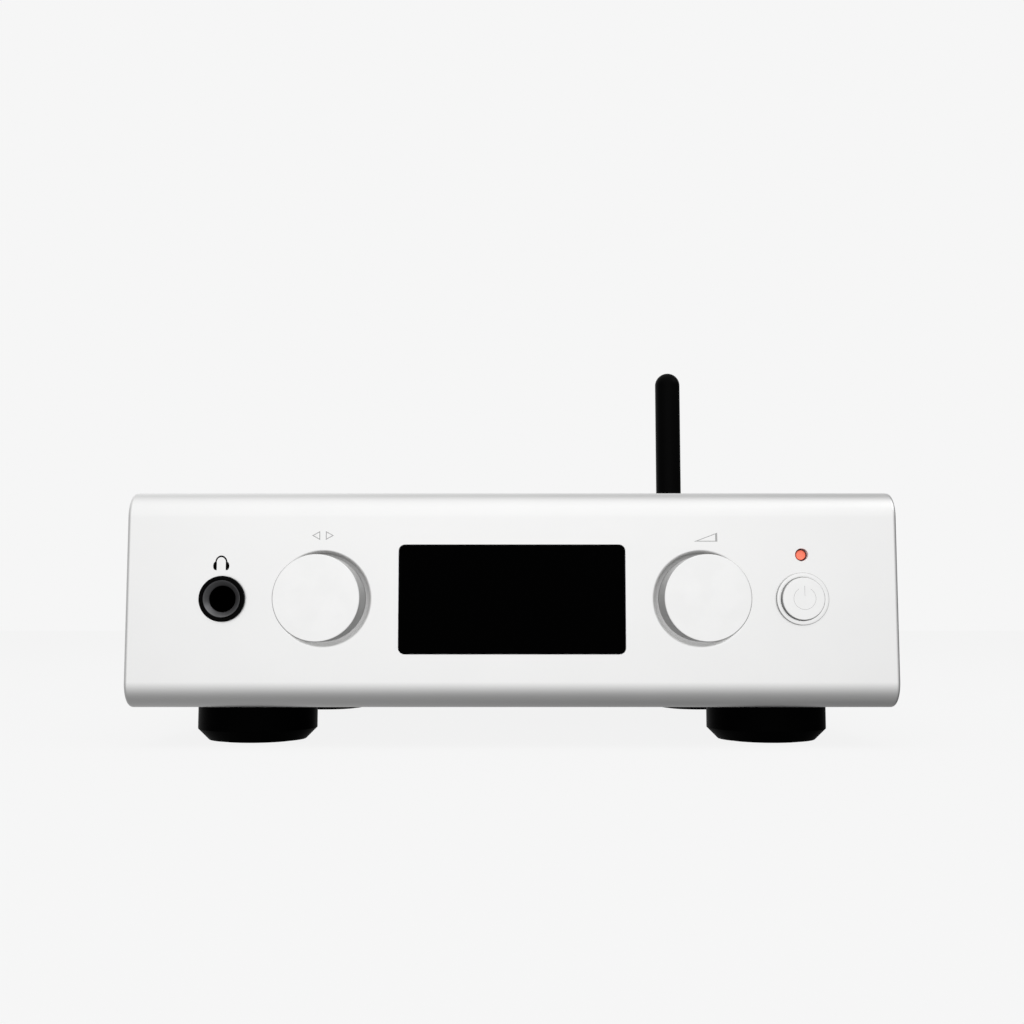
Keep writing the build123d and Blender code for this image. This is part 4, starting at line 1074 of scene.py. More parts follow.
def make_piece(
    name: str,
    skin: Skin,
    finish: Finish,
    replaced: Sequence[str] = (),
    body: Body = Body.CASING,
    cutters: Sequence[Skin] = (),
) -> bpy.types.Object:
    """Turn a skin into a finished piece that rides on a body.

    Args:
        name: The piece's name.
        skin: Its surface.
        finish: Its finish.
        replaced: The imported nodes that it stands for.
        body: The body that carries it.
        cutters: Closed skins that are cut out of it.

    Returns:
        The object.
    """
    piece = placed(name, skin.mesh(name))
    for number, cutter in enumerate(cutters):
        carve(piece, cutter.mesh(f"{name}_cutter_{number}"))
    mesh = piece.data
    mesh.materials.clear()
    mesh.materials.append(finish.material())
    mesh.shade_smooth()
    mesh.set_sharp_from_angle(angle=math.radians(SHARP_DEG))
    piece.modifiers.new("even_normals", "WEIGHTED_NORMAL").keep_sharp = True
    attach(piece, body.value)
    if replaced:
        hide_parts(*replaced)
    LOG.info("%s: %d faces on %s", name, len(mesh.polygons), body.value)
    return piece


def dress(nodes: Nodes, finish: Finish, *names: str) -> None:
    """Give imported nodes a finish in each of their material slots.

    Args:
        nodes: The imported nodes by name.
        finish: The finish.
        *names: The nodes to dress.
    """
    for name in names:
        for material_slot in nodes[name].material_slots:
            material_slot.material = finish.material()
        LOG.info("%s: dressed in %s", name, finish.name)


# The object's own parts


@dataclass(frozen=True)
class Bore:
    """A round hole in the front panel that opens, at its floor's depth, into a square pocket behind it."""

    at: Place
    radius: float
    floor: float
    pocket: Size


@dataclass
class Casing:
    """Front panel, cover and rear panel, and the fixings that hold them."""

    half_width: float = 95.0
    bottom: float = 9.8
    top: float = 63.2
    edge_round: float = 6.5
    side_round: float = 1.0
    seam: float = 0.15
    sheet: float = 2.0
    well_radius: float = 11.3
    well_depth: float = 2.5
    well_lip: float = 0.85
    well_corner: float = 0.3
    shaft_radius: float = 3.55
    encoder_floor: float = 5.0
    encoder_pocket: Size = (13.2, 14.6)
    bores: tuple[Bore, ...] = (
        Bore(SOCKET_AT, 4.75, 3.0, (16.7, 18.2)), Bore(BUTTON_AT, 6.15, 7.9, (10.2, 10.2))
    )
    window: Size = (55.7, 26.8)
    window_corner: float = 1.5
    window_bevel: float = 0.1
    module_floor: float = 2.5
    module_pocket: Size = (61.7, 38.2)
    board_floor: float = 6.3
    board_pocket: Size = (71.2, 43.2)
    lamp_radius: float = 1.55
    lamp_bevel: float = 0.08
    screw_radius: float = 1.55
    head_radius: float = 2.85
    head_depth: float = 1.3
    side_screws: tuple[Place, ...] = ((16.0, 16.8), (16.0, 56.2), (171.5, 16.8), (171.5, 56.2))
    rear_screws: tuple[Place, ...] = (
        (-86.0, 18.3), (-86.0, 54.7), (86.0, 18.3), (86.0, 54.7), (-82.0, MIDDLE_Z), (-42.0, MIDDLE_Z)
    )
    phono_radius: float = 5.35
    jack_radius: float = 3.15
    rear_windows: tuple[tuple[Place, Size], ...] = (
        ((-1.0, 26.1), (11.3, 11.3)), ((-19.0, 25.05), (12.3, 11.2)), ((-62.0, 36.5), (27.7, 20.2))
    )
    edge_steps: int = 16
    roll_stations: int = 6
    well_count: int = 128

    def section(self, inset: float) -> np.ndarray:
        """Side outline of the front panel, moved inwards everywhere by an inset.

        The outline runs from the back along the underside, round the lower edge, up the face, round the upper
        edge and back along the top. Both edges are quarter circles about fixed centres, so an inset only
        makes their radius smaller.

        Args:
            inset: How far the outline is moved inwards.

        Returns:
            Array of (points, 2), each point as (depth, z).
        """
        swing = np.linspace(0, math.pi / 2, self.edge_steps + 1)
        radius = self.edge_round - inset
        depth = self.edge_round - radius * np.sin(swing)
        lower = np.stack([depth, self.bottom + self.edge_round - radius * np.cos(swing)], axis=1)
        upper = np.stack([depth, self.top - self.edge_round + radius * np.cos(swing)], axis=1)
        bevel = PANEL_BACK - self.seam
        under = [(PANEL_BACK, self.bottom + inset), (bevel, self.bottom + inset)]
        over = [(bevel, self.top - inset), (PANEL_BACK, self.top - inset)]
        return np.concatenate([under, lower, upper[::-1], over])

    def station(self, side: int, swing: float) -> np.ndarray:
        """Points of the front panel's section where its side edge has rolled over by an angle.

        The first and the last point lie on the rear face. They are moved inwards by the seam's bevel, along
        the direction (sine, cosine) of the angle that the edge faces.

        Args:
            side: -1 for the left edge, 1 for the right one.
            swing: The angle, from 0 on top to a quarter turn on the side.

        Returns:
            Array of (points, 3) in the model's frame.
        """
        x = side * (self.half_width - self.side_round + self.side_round * math.sin(swing))
        points = at_x(self.section(self.side_round * (1 - math.cos(swing))), x)
        points[[0, -1], 0] -= side * self.seam * math.sin(swing)
        points[[0, -1], 2] += np.array([1, -1]) * self.seam * math.cos(swing)
        return points

    def well(self, skin: Skin, at: Place) -> tuple[np.ndarray, np.ndarray]:
        """Add a knob's well, with a lip rolled by a quarter circle, and the encoder's pocket behind it.

        Args:
            skin: The panel's skin.
            at: The well's axis.

        Returns:
            Its outline in the panel's face and in the panel's back.
        """
        lip = np.linspace(0, math.pi / 2, 7)
        mouth = self.well_radius + self.well_lip
        rolled = np.stack([mouth - self.well_lip * np.sin(lip), self.well_lip * (1 - np.cos(lip))], axis=1)
        wall = softened([
            (self.well_radius, self.well_lip), (self.well_radius, self.well_depth, self.well_corner),
            (self.shaft_radius, self.well_depth),
        ], 3)[1:]
        profile = np.concatenate([rolled, wall, [(self.shaft_radius, self.encoder_floor)]])
        skin.turned(profile, at, count=self.well_count)
        pocket = frame(at, self.encoder_pocket)
        skin.step(pocket, self.encoder_floor, PANEL_BACK, ring(at, self.shaft_radius, self.well_count))
        return ring(at, mouth, self.well_count), pocket

    def window_hole(self, skin: Skin) -> tuple[np.ndarray, np.ndarray]:
        """Add the window's opening with its fine bevel, and the display's two stepped pockets behind it.

        Args:
            skin: The panel's skin.

        Returns:
            Its outline in the panel's face and in the panel's back.
        """
        opening = frame(WINDOW_AT, self.window, self.window_corner)
        mouth = frame(WINDOW_AT, self.window, self.window_corner, inset=-self.window_bevel)
        module, board = frame(WINDOW_AT, self.module_pocket), frame(WINDOW_AT, self.board_pocket)
        skin.loft((mouth, 0.0), (opening, self.window_bevel), (opening, self.module_floor))
        skin.step(module, self.module_floor, self.board_floor, opening)
        skin.step(board, self.board_floor, PANEL_BACK, module)
        return mouth, board

    def bored(self, skin: Skin, bore: Bore) -> tuple[np.ndarray, np.ndarray]:
        """Add a bore and its pocket.

        Args:
            skin: The panel's skin.
            bore: The bore's sizes.

        Returns:
            Its outline in the panel's face and in the panel's back.
        """
        hole, pocket = ring(bore.at, bore.radius), frame(bore.at, bore.pocket)
        skin.loft((hole, 0.0), (hole, bore.floor)).step(pocket, bore.floor, PANEL_BACK, hole)
        return hole, pocket

    def lamp_hole(self, skin: Skin) -> tuple[np.ndarray, np.ndarray]:
        """Add the lamp's hole with its fine bevel.

        Args:
            skin: The panel's skin.

        Returns:
            Its outline in the panel's face and in the panel's back.
        """
        hole, mouth = [ring(LAMP_AT, self.lamp_radius + wider, 48) for wider in (0.0, self.lamp_bevel)]
        skin.loft((mouth, 0.0), (hole, self.lamp_bevel), (hole, PANEL_BACK))
        return mouth, hole

    def front_panel(self) -> Skin:
        """Make the milled front plate: rounded long edges that meet rolled sides, wells, holes and pockets.

        Returns:
            The plate's skin.
        """
        skin = Skin()
        swings = np.linspace(math.pi / 2, 0, self.roll_stations)
        left, right = [np.stack([self.station(side, swing) for swing in swings]) for side in (-1, 1)]
        for rows in (left, right):
            skin.grid(rows, closed=False).fill(rows[0, 1:-1]).fill(rows[0, [0, 1, -2, -1]])
        span = np.stack([left[-1], right[-1]])
        half = self.edge_steps + 3
        skin.grid(span[:, :half], closed=False).grid(span[:, half:], closed=False)
        openings = [self.well(skin, at) for at in (SELECT_AT, VOLUME_AT)]
        openings.append(self.window_hole(skin))
        openings += [self.bored(skin, bore) for bore in self.bores]
        openings.append(self.lamp_hole(skin))
        fronts, backs = zip(*openings)
        inner = self.half_width - self.side_round
        low, high = self.bottom + self.edge_round, self.top - self.edge_round
        skin.web(0.0, np.array([(-inner, low), (inner, low), (inner, high), (-inner, high)]), *fronts)
        rim = np.concatenate([left[:, 0], right[::-1, 0], right[:, -1], left[::-1, -1]])
        return skin.fill(rim, *[at_depth(outline, PANEL_BACK) for outline in backs])

    def strips(self, inset: float) -> list[np.ndarray]:
        """Bent runs of the cover's outside: lower left corner, over the top, and lower right corner.

        Args:
            inset: How far the outside is moved inwards.

        Returns:
            The three runs of (x, z), without the straight sides between them.
        """
        outer, bottom, top = self.half_width - inset, self.bottom + inset, self.top - inset
        side = self.side_round - inset
        lip = self.sheet - self.half_width
        left = softened([(lip, bottom), (-outer, bottom, side), (-outer, MIDDLE_Z)])[:-1]
        over = [(-outer, MIDDLE_Z), (-outer, top, side), (outer, top, side), (outer, MIDDLE_Z)]
        return [left, softened(over)[1:-1], left[::-1] * (-1, 1)]

    def cover(self) -> Skin:
        """Make the bent cover: a channel of sheet with rounded corners and bevelled seams.

        Returns:
            The cover's skin.
        """
        skin = Skin()
        ends = (PANEL_BACK, PANEL_BACK + self.seam, REAR_START - self.seam, REAR_START)
        fine, full = self.strips(self.seam), self.strips(0.0)
        inner, roof = self.half_width - self.sheet, self.top - self.sheet
        ceiling = np.array([(inner, roof), (-inner, roof)])
        for less, whole in zip(fine, full):
            rows = [at_depth(run, depth) for run, depth in zip((less, whole, whole, less), ends)]
            skin.grid(np.stack(rows), closed=False)
        skin.grid(np.stack([at_depth(ceiling, ends[0]), at_depth(ceiling, ends[-1])]), closed=False)
        for depth in (ends[0], ends[-1]):
            skin.web(depth, np.concatenate([*fine, ceiling]))
        for sign in (-1, 1):
            self.cover_side(skin, sign, ends, roof)
        return skin

    def cover_side(self, skin: Skin, sign: int, ends: Sequence[float], roof: float) -> None:
        """Close one side of the cover: both its faces, the seams' bevels and the countersunk screw holes.

        Args:
            skin: The cover's skin.
            sign: -1 for the left side, 1 for the right one.
            ends: The depths of the front end, of the two bevels' inner edges, and of the rear end.
            roof: The height of the cover's ceiling.
        """
        outer, inner = self.half_width, self.half_width - self.sheet
        low, high = self.bottom + self.side_round, self.top - self.side_round
        lifted = self.bottom + self.seam
        for edge, end in ((ends[1], ends[0]), (ends[2], ends[3])):
            bevel = np.array([
                (outer, edge, low), (outer, edge, high),
                (outer - self.seam, end, high), (outer - self.seam, end, low),
            ])
            skin.fill(bevel * (sign, 1, 1) + (0, PANEL_FACE_Y, 0))
        stages = (
            (outer, self.head_radius),
            (outer - self.head_depth, self.screw_radius),
            (inner, self.screw_radius),
        )
        rims = [
            [at_x(ring(place, radius, 32), sign * x) for place in self.side_screws] for x, radius in stages
        ]
        outside = np.array([(ends[1], low), (ends[2], low), (ends[2], high), (ends[1], high)])
        inside = np.array([
            (ends[0], lifted), (ends[1], self.bottom), (ends[2], self.bottom), (ends[3], lifted),
            (ends[3], roof), (ends[0], roof),
        ])
        skin.fill(at_x(outside, sign * outer), *rims[0]).fill(at_x(inside, sign * inner), *rims[-1])
        for hole in zip(*rims):
            skin.grid(np.stack(hole))

    def rear_panel(self) -> Skin:
        """Make the rear plate, with softened outer edges and the connectors' cut-outs.

        Returns:
            The plate's skin.
        """
        centre, size = (0.0, MIDDLE_Z), (2 * self.half_width, self.top - self.bottom)
        full, less = [frame(centre, size, self.side_round, inset=inset) for inset in (0.0, self.seam)]
        holes = [ring(at, self.screw_radius, 32) for at in self.rear_screws]
        holes += [ring(at, self.phono_radius) for at in PHONO_AT.values()]
        holes += [ring(ANTENNA_AT, self.jack_radius)]
        holes += [frame(at, face) for at, face in self.rear_windows]
        skin = Skin().web(REAR_START, less, *holes).web(REAR_END, less, *holes)
        near, far = REAR_START + self.seam, REAR_END - self.seam
        skin.loft((less, REAR_START), (full, near), (full, far), (less, REAR_END))
        for hole in holes:
            skin.loft((hole, REAR_START), (hole, REAR_END))
        return skin

    def build(self, nodes: Nodes) -> None:
        """Make the panels and the cover, and dress the tray, the blocks and the screws.

        Args:
            nodes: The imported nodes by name.
        """
        make_piece("front_plate", self.front_panel(), Palette.FRONT, ["front_panel"])
        make_piece("cover_shell", self.cover(), Palette.CASE, ["top_cover"])
        make_piece("rear_plate", self.rear_panel(), Palette.CASE, ["rear_panel"])
        dress(nodes, Palette.CASE, "bottom_tray")
        dress(nodes, Palette.BLOCK, "corner_blocks")
        dress(nodes, Palette.SCREW, "cover_screws", "panel_screws", "foot_screws")


@dataclass
class Feet:
    """Four round feet with a broad bevel underneath, and their pads."""

    radius: float = 15.5
    low: float = 0.3
    high: float = 9.8
    bevel: float = 2.9
    edge: float = 0.22
    screw_radius: float = 2.05
    head_radius: float = 4.15
    head_seat: float = 6.8
    pad_seat: float = 1.65
    pad_recess: float = 10.65
    pad_radius: float = 10.5
    pad_top: float = 1.5
    groove_middles: tuple[float, ...] = (3.0, 5.4, 7.8)
    groove_depth: float = 0.3
    places: dict[str, Place] = field(default_factory=lambda: {
        "foot_front_left": (-67.15, -69.1),
        "foot_front_right": (67.15, -69.1),
        "foot_rear_left": (-67.15, 56.4),
        "foot_rear_right": (67.15, 56.4),
    })

    def profile(self) -> list[tuple[float, ...]]:
        """Outline of half a foot, from its screw hole down and round to the hole again.

        Returns:
            The corners as (radius, z, rounding).
        """
        return [
            (self.screw_radius, self.head_seat),
            (self.head_radius, self.head_seat),
            (self.head_radius, self.pad_seat),
            (self.pad_recess, self.pad_seat),
            (self.pad_recess, self.low, 0.15),
            (self.radius - self.bevel, self.low, self.edge),
            (self.radius, self.low + self.bevel, self.edge),
            (self.radius, self.high, 0.12),
            (self.screw_radius, self.high),
            (self.screw_radius, self.head_seat),
        ]

    def pad_profile(self) -> list[tuple[float, ...]]:
        """Outline of half a pad, with shallow grip rings underneath.

        Returns:
            The corners as (radius, z, rounding).
        """
        wide, narrow, deep = 0.4, 0.25, self.groove_depth
        grooves = [
            corner
            for at in self.groove_middles
            for corner in (
                (at - wide, 0.0, 0.1), (at - narrow, deep), (at + narrow, deep), (at + wide, 0.0, 0.1)
            )
        ]
        rim = [(self.pad_radius, 0.0, 0.25), (self.pad_radius, self.pad_top, 0.1), (0.0, self.pad_top)]
        return [(0.0, 0.0), *grooves, *rim]

    def build(self) -> None:
        """Make the feet and all pads in one piece."""
        pads = Skin()
        for name, place in self.places.items():
            skin = Skin().turned(self.profile(), place, Axis.HEIGHT, 128)
            make_piece(f"{name}_body", skin, Palette.FOOT, [name])
            pads.turned(self.pad_profile(), place, Axis.HEIGHT, 64, 3)
        make_piece("foot_grip_pads", pads, Palette.PAD, ["foot_pads"])


@dataclass
class Knob:
    """Solid turned knob, hollow behind, with a hole for its grub screw."""

    node: str
    body: Body
    at: Place
    radius: float = 10.45
    face: float = -10.8
    foot: float = 1.7
    edge: float = 0.3
    bore_radius: float = 3.05
    bore_end: float = -9.3
    recess_radius: float = 6.5
    recess_end: float = -2.0
    grub_radius: float = 1.55
    grub_depth: float = -5.0
    grub_reach: Place = (2.0, 14.0)

    def profile(self) -> list[tuple[float, ...]]:
        """Outline of half the knob, from the shaft's bore round the recess to the face.

        Returns:
            The corners as (radius, depth, rounding).
        """
        return [
            (0.0, self.bore_end), (self.bore_radius, self.bore_end), (self.bore_radius, self.recess_end),
            (self.recess_radius, self.recess_end), (self.recess_radius, self.foot, 0.15),
            (self.radius, self.foot, 0.2), (self.radius, self.face, self.edge), (0.0, self.face),
        ]

    def build(self) -> None:
        """Make the knob with its grub screw's hole, and keep its reflection and shadow off the panel."""
        x, z = self.at
        low, high = [z + reach for reach in self.grub_reach]
        drilled = [(0.0, low), (self.grub_radius, low), (self.grub_radius, high), (0.0, high)]
        hole = Skin().turned(drilled, (x, PANEL_FACE_Y + self.grub_depth), Axis.HEIGHT, 32)
        skin = Skin().turned(self.profile(), self.at, count=160)
        finish = TurnedAluminium(f"{self.node}_turning", "case_aluminium", self.at, self.radius)
        knob = make_piece(f"{self.node}_cap", skin, finish, [self.node], self.body, [hole])
        knob.visible_glossy = knob.visible_diffuse = knob.visible_shadow = False


@dataclass
class Display:
    """Smoked window in the panel, with the layers behind it."""

    plug: Size = (55.4, 26.5)
    plug_corner: float = 1.35
    flange: Size = (60.0, 31.0)
    flange_corner: float = 1.5
    bevel: float = 0.12
    flange_start: float = 2.5
    flange_end: float = 3.7

    def window(self) -> Skin:
        """Make the stepped plate: a plug with a fine bevel, and a flange behind the panel.

        Returns:
            The window's skin.
        """
        plug = frame(WINDOW_AT, self.plug, self.plug_corner)
        less = frame(WINDOW_AT, self.plug, self.plug_corner, inset=self.bevel)
        flange = frame(WINDOW_AT, self.flange, self.flange_corner)
        skin = Skin().web(0.0, less).loft((less, 0.0), (plug, self.bevel), (plug, self.flange_start))
        return skin.step(flange, self.flange_start, self.flange_end, plug).web(self.flange_end, flange)

    def build(self, nodes: Nodes) -> None:
        """Make the window and dress its layers.

        Args:
            nodes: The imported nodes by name.
        """
        make_piece("smoked_window", self.window(), Palette.WINDOW, ["display_window"])
        dress(nodes, Palette.GASKET, "display_gasket")
        dress(nodes, Palette.GLASS, "display_module")
        dress(nodes, Palette.BOARD, "display_board")


@dataclass
class HeadphoneSocket:
    """Panel socket for the large plug, with its ring nut and leaf contacts."""

    bushing: float = 4.7
    bushing_face: float = -0.9
    mouth: float = 4.45
    bore: float = 3.25
    bore_end: float = 28.0
    box: Size = (15.5, 17.0)
    box_corner: float = 0.6
    box_start: float = 3.0
    box_end: float = 31.0
    box_bevel: float = 0.3
    rear: Size = (14.9, 16.4)
    rear_corner: float = 0.4
    slot_half: float = 1.6
    slot_reach: float = 12.0
    lower_slot: Place = (5.0, 15.0)
    upper_slot: Place = (16.0, 27.0)
    nut_inside: float = 4.75
    nut_radius: float = 5.63
    nut_face: float = -1.0

    def housing(self) -> Skin:
        """Make housing and bushing in one, bored for the plug behind a wide countersunk mouth.

        Returns:
            The socket's skin.
        """
        skin = Skin().turned([
            (self.bushing, self.box_start), (self.bushing, self.bushing_face, 0.12),
            (self.mouth, self.bushing_face, 0.05), (self.bore, 0.3, 0.25), (self.bore, self.bore_end),
            (0.0, self.bore_end),
        ], SOCKET_AT)
        box = frame(SOCKET_AT, self.box, self.box_corner, 3)
        less = frame(SOCKET_AT, self.rear, self.rear_corner, 3)
        bevel = self.box_end - self.box_bevel
        skin.step(box, self.box_start, bevel, ring(SOCKET_AT, self.bushing, 96))
        return skin.loft((box, bevel), (less, self.box_end)).web(self.box_end, less)

    def nut(self) -> Skin:
        """Make the ring nut, with a fine bevel outside.

        Returns:
            The nut's skin.
        """
        return Skin().turned([
            (self.nut_inside, 0.0), (self.nut_inside, self.nut_face, 0.08),
            (self.nut_radius, self.nut_face, 0.22), (self.nut_radius, 0.0), (self.nut_inside, 0.0),
        ], SOCKET_AT)

    def build(self, nodes: Nodes) -> None:
        """Make the socket with its two contact slots, and its nut.

        Args:
            nodes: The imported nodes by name.
        """
        x, z = SOCKET_AT
        left, right = x - self.slot_half, x + self.slot_half
        slots = [
            Skin().bar((left, self.lower_slot[0], z - self.slot_reach), (right, self.lower_slot[1], z)),
            Skin().bar((left, self.upper_slot[0], z), (right, self.upper_slot[1], z + self.slot_reach)),
        ]
        housing = self.housing()
        make_piece("headphone_socket_body", housing, Palette.SOCKET, ["headphone_socket"], cutters=slots)
        make_piece("headphone_ring_nut", self.nut(), Palette.NUT, ["socket_nut"])
        dress(nodes, Palette.BRASS, "socket_contacts")


def band(
    skin: Skin, centre: Place, radius: float, width: float, angles: np.ndarray, back: float, rise: float = 1.0
) -> Skin:
    """Add an arc-shaped band of ink: its edges lie at the radius minus and plus half the width.

    Args:
        skin: The skin that takes it.
        centre: The arc's centre as (x, z).
        radius: Its middle radius.
        width: Its width.
        angles: The angles along it.
        back: The depth of the surface that it is printed on.
        rise: How many times as high as wide the arc is.

    Returns:
        The skin.
    """
    round_off = np.stack([np.cos(angles), rise * np.sin(angles)], axis=1)
    inner, outer = [np.array(centre) + (radius + side * width / 2) * round_off for side in (-1, 1)]
    return skin.prism(back - INK, back, np.concatenate([outer, inner[::-1]]))


@dataclass
class PowerControl:
    """Power button in its bezel, the lamp above it, and the mark on its cap."""

    cap_radius: float = 5.25
    cap_face: float = -1.65
    flange_radius: float = 5.85
    flange_start: float = 2.2
    flange_end: float = 3.2
    stem_radius: float = 2.0
    stem_end: float = 9.2
    bezel_inside: float = 5.3
    bezel_radius: float = 6.45
    bezel_face: float = -0.65
    sleeve_radius: float = 6.1
    sleeve_end: float = 2.0
    lens_face: float = 0.9
    lens_dome: Place = (0.8, 0.93)
    lens_edge: float = 1.1
    lens_radius: float = 1.25
    base_radius: float = 1.9
    base_start: float = 10.0
    base_end: float = 12.0
    mark_shift: Place = (0.24, 0.08)
    mark_radius: float = 2.7
    mark_width: float = 0.1
    mark_stroke: Place = (0.6, 3.1)

    def cap(self) -> Skin:
        """Make the button: cap, captive flange and stem.

        Returns:
            The button's skin.
        """
        return Skin().turned([
            (0.0, self.cap_face), (self.cap_radius, self.cap_face, 0.25),
            (self.cap_radius, self.flange_start), (self.flange_radius, self.flange_start),
            (self.flange_radius, self.flange_end), (self.stem_radius, self.flange_end),
            (self.stem_radius, self.stem_end, 0.2), (0.0, self.stem_end),
        ], BUTTON_AT)

    def bezel(self) -> Skin:
        """Make the bezel ring with its sleeve through the panel.

        Returns:
            The bezel's skin.
        """
        return Skin().turned([
            (self.bezel_inside, self.sleeve_end), (self.bezel_inside, self.bezel_face, 0.12),
            (self.bezel_radius, self.bezel_face, 0.15), (self.bezel_radius, 0.0), (self.sleeve_radius, 0.0),
            (self.sleeve_radius, self.sleeve_end), (self.bezel_inside, self.sleeve_end),
        ], BUTTON_AT)

    def lamp(self) -> Skin:
        """Make the lamp: a lens with a slightly domed face on a wider base.

        Returns:
            The lamp's skin.
        """
        return Skin().turned([
            (0.0, self.lens_face), self.lens_dome, (self.lens_radius, self.lens_edge, 0.12),
            (self.lens_radius, self.base_start), (self.base_radius, self.base_start),
            (self.base_radius, self.base_end), (0.0, self.base_end),
        ], LAMP_AT, count=48)

    def mark(self) -> Skin:
        """Make the thin raised power mark: an open ring and a stroke through its gap.

        Returns:
            The mark's skin.
        """
        x, z = [place + shift for place, shift in zip(BUTTON_AT, self.mark_shift)]
        arc = np.radians(np.linspace(122, 418, 49))
        half, (low, high) = self.mark_width / 2, self.mark_stroke
        skin = band(Skin(), (x, z), self.mark_radius, self.mark_width, arc, self.cap_face)
        return skin.bar((x - half, self.cap_face - INK, z + low), (x + half, self.cap_face, z + high))

    def build(self, nodes: Nodes) -> None:
        """Make the button, bezel, lamp and mark, and dress the switch.

        Args:
            nodes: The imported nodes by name.
        """
        cap = TurnedAluminium("button_turning", "case_aluminium", BUTTON_AT, self.cap_radius)
        bezel = TurnedAluminium("bezel_turning", "case_aluminium", BUTTON_AT, self.bezel_radius)
        make_piece("power_button_cap", self.cap(), cap, ["power_button"], Body.POWER_BUTTON)
        make_piece("power_bezel_ring", self.bezel(), bezel, ["button_bezel"])
        make_piece("power_lamp_lens", self.lamp(), Palette.LENS, ["power_lamp"])
        make_piece("power_mark", self.mark(), Palette.POWER_PRINT, body=Body.POWER_BUTTON)
        dress(nodes, Palette.BLACK, "power_switch")


@dataclass
class Markings:
    """Generic printed marks on the front panel: headphones, a pair of arrows and a volume wedge."""

    phones_at: Place = (-71.54, 43.52)
    cup_gap: float = 1.11
    cup_reach: float = 0.88
    cup_half_height: float = 1.07
    arch_rise: float = 1.75
    arch_radius: float = 1.36
    arch_width: float = 0.34
    arrows_at: Place = (-46.6, 52.1)
    arrow_reach: Place = (0.7, 2.7)
    arrow_half_height: float = 1.1
    wedge_corners: tuple[Place, ...] = ((44.8, 50.6), (50.6, 50.6), (50.6, 52.8))

    def stroke(self, skin: Skin, outline: np.ndarray, inside: float = 0.0) -> None:
        """Add a thin flat shape to a mark.

        Args:
            skin: The mark's skin.
            outline: Array of (points, 2).
            inside: Size of its hole, a smaller copy about the points' middle, as a share; 0 leaves it whole.
        """
        middle = outline.mean(axis=0)
        holes = [middle + (outline - middle) * inside] if inside else []
        skin.prism(-INK, 0.0, outline, *holes)

    def headphones(self) -> Skin:
        """Make two ear cups, rounded outside and flat inside, under an arch higher than a half circle.

        An ear cup's outside is its reach times the cosine of an angle to the power 0.7, and its height is its
        half height times the sine.

        Returns:
            The mark's skin.
        """
        skin = Skin()
        middle, foot = self.phones_at
        swing = np.radians(np.linspace(-90, 90, 13))
        up = foot + self.cup_half_height + self.cup_half_height * np.sin(swing)
        for side in (-1, 1):
            across = middle + side * (self.cup_gap + self.cup_reach * np.cos(swing) ** 0.7)
            self.stroke(skin, np.stack([across, up], axis=1))
        angles = np.radians(np.linspace(-4, 184, 33))
        centre = (middle, foot + self.arch_rise)
        return band(skin, centre, self.arch_radius, self.arch_width, angles, 0.0, 1.25)

    def arrows(self) -> Skin:
        """Make two small outlined triangles that point apart.

        Returns:
            The mark's skin.
        """
        skin = Skin()
        x, z = self.arrows_at
        for side in (-1, 1):
            base, tip = [x + side * reach for reach in self.arrow_reach]
            half = self.arrow_half_height
            self.stroke(skin, np.array([(tip, z), (base, z + half), (base, z - half)]), 0.68)
        return skin

    def wedge(self) -> Skin:
        """Make an outlined wedge that grows to the right.

        Returns:
            The mark's skin.
        """
        skin = Skin()
        self.stroke(skin, np.array(self.wedge_corners), 0.74)
        return skin

    def build(self) -> None:
        """Make the three marks."""
        make_piece("headphone_mark", self.headphones(), Palette.BLACK_PRINT)
        make_piece("select_mark", self.arrows(), Palette.GREY_PRINT)
        make_piece("volume_mark", self.wedge(), Palette.GREY_PRINT)


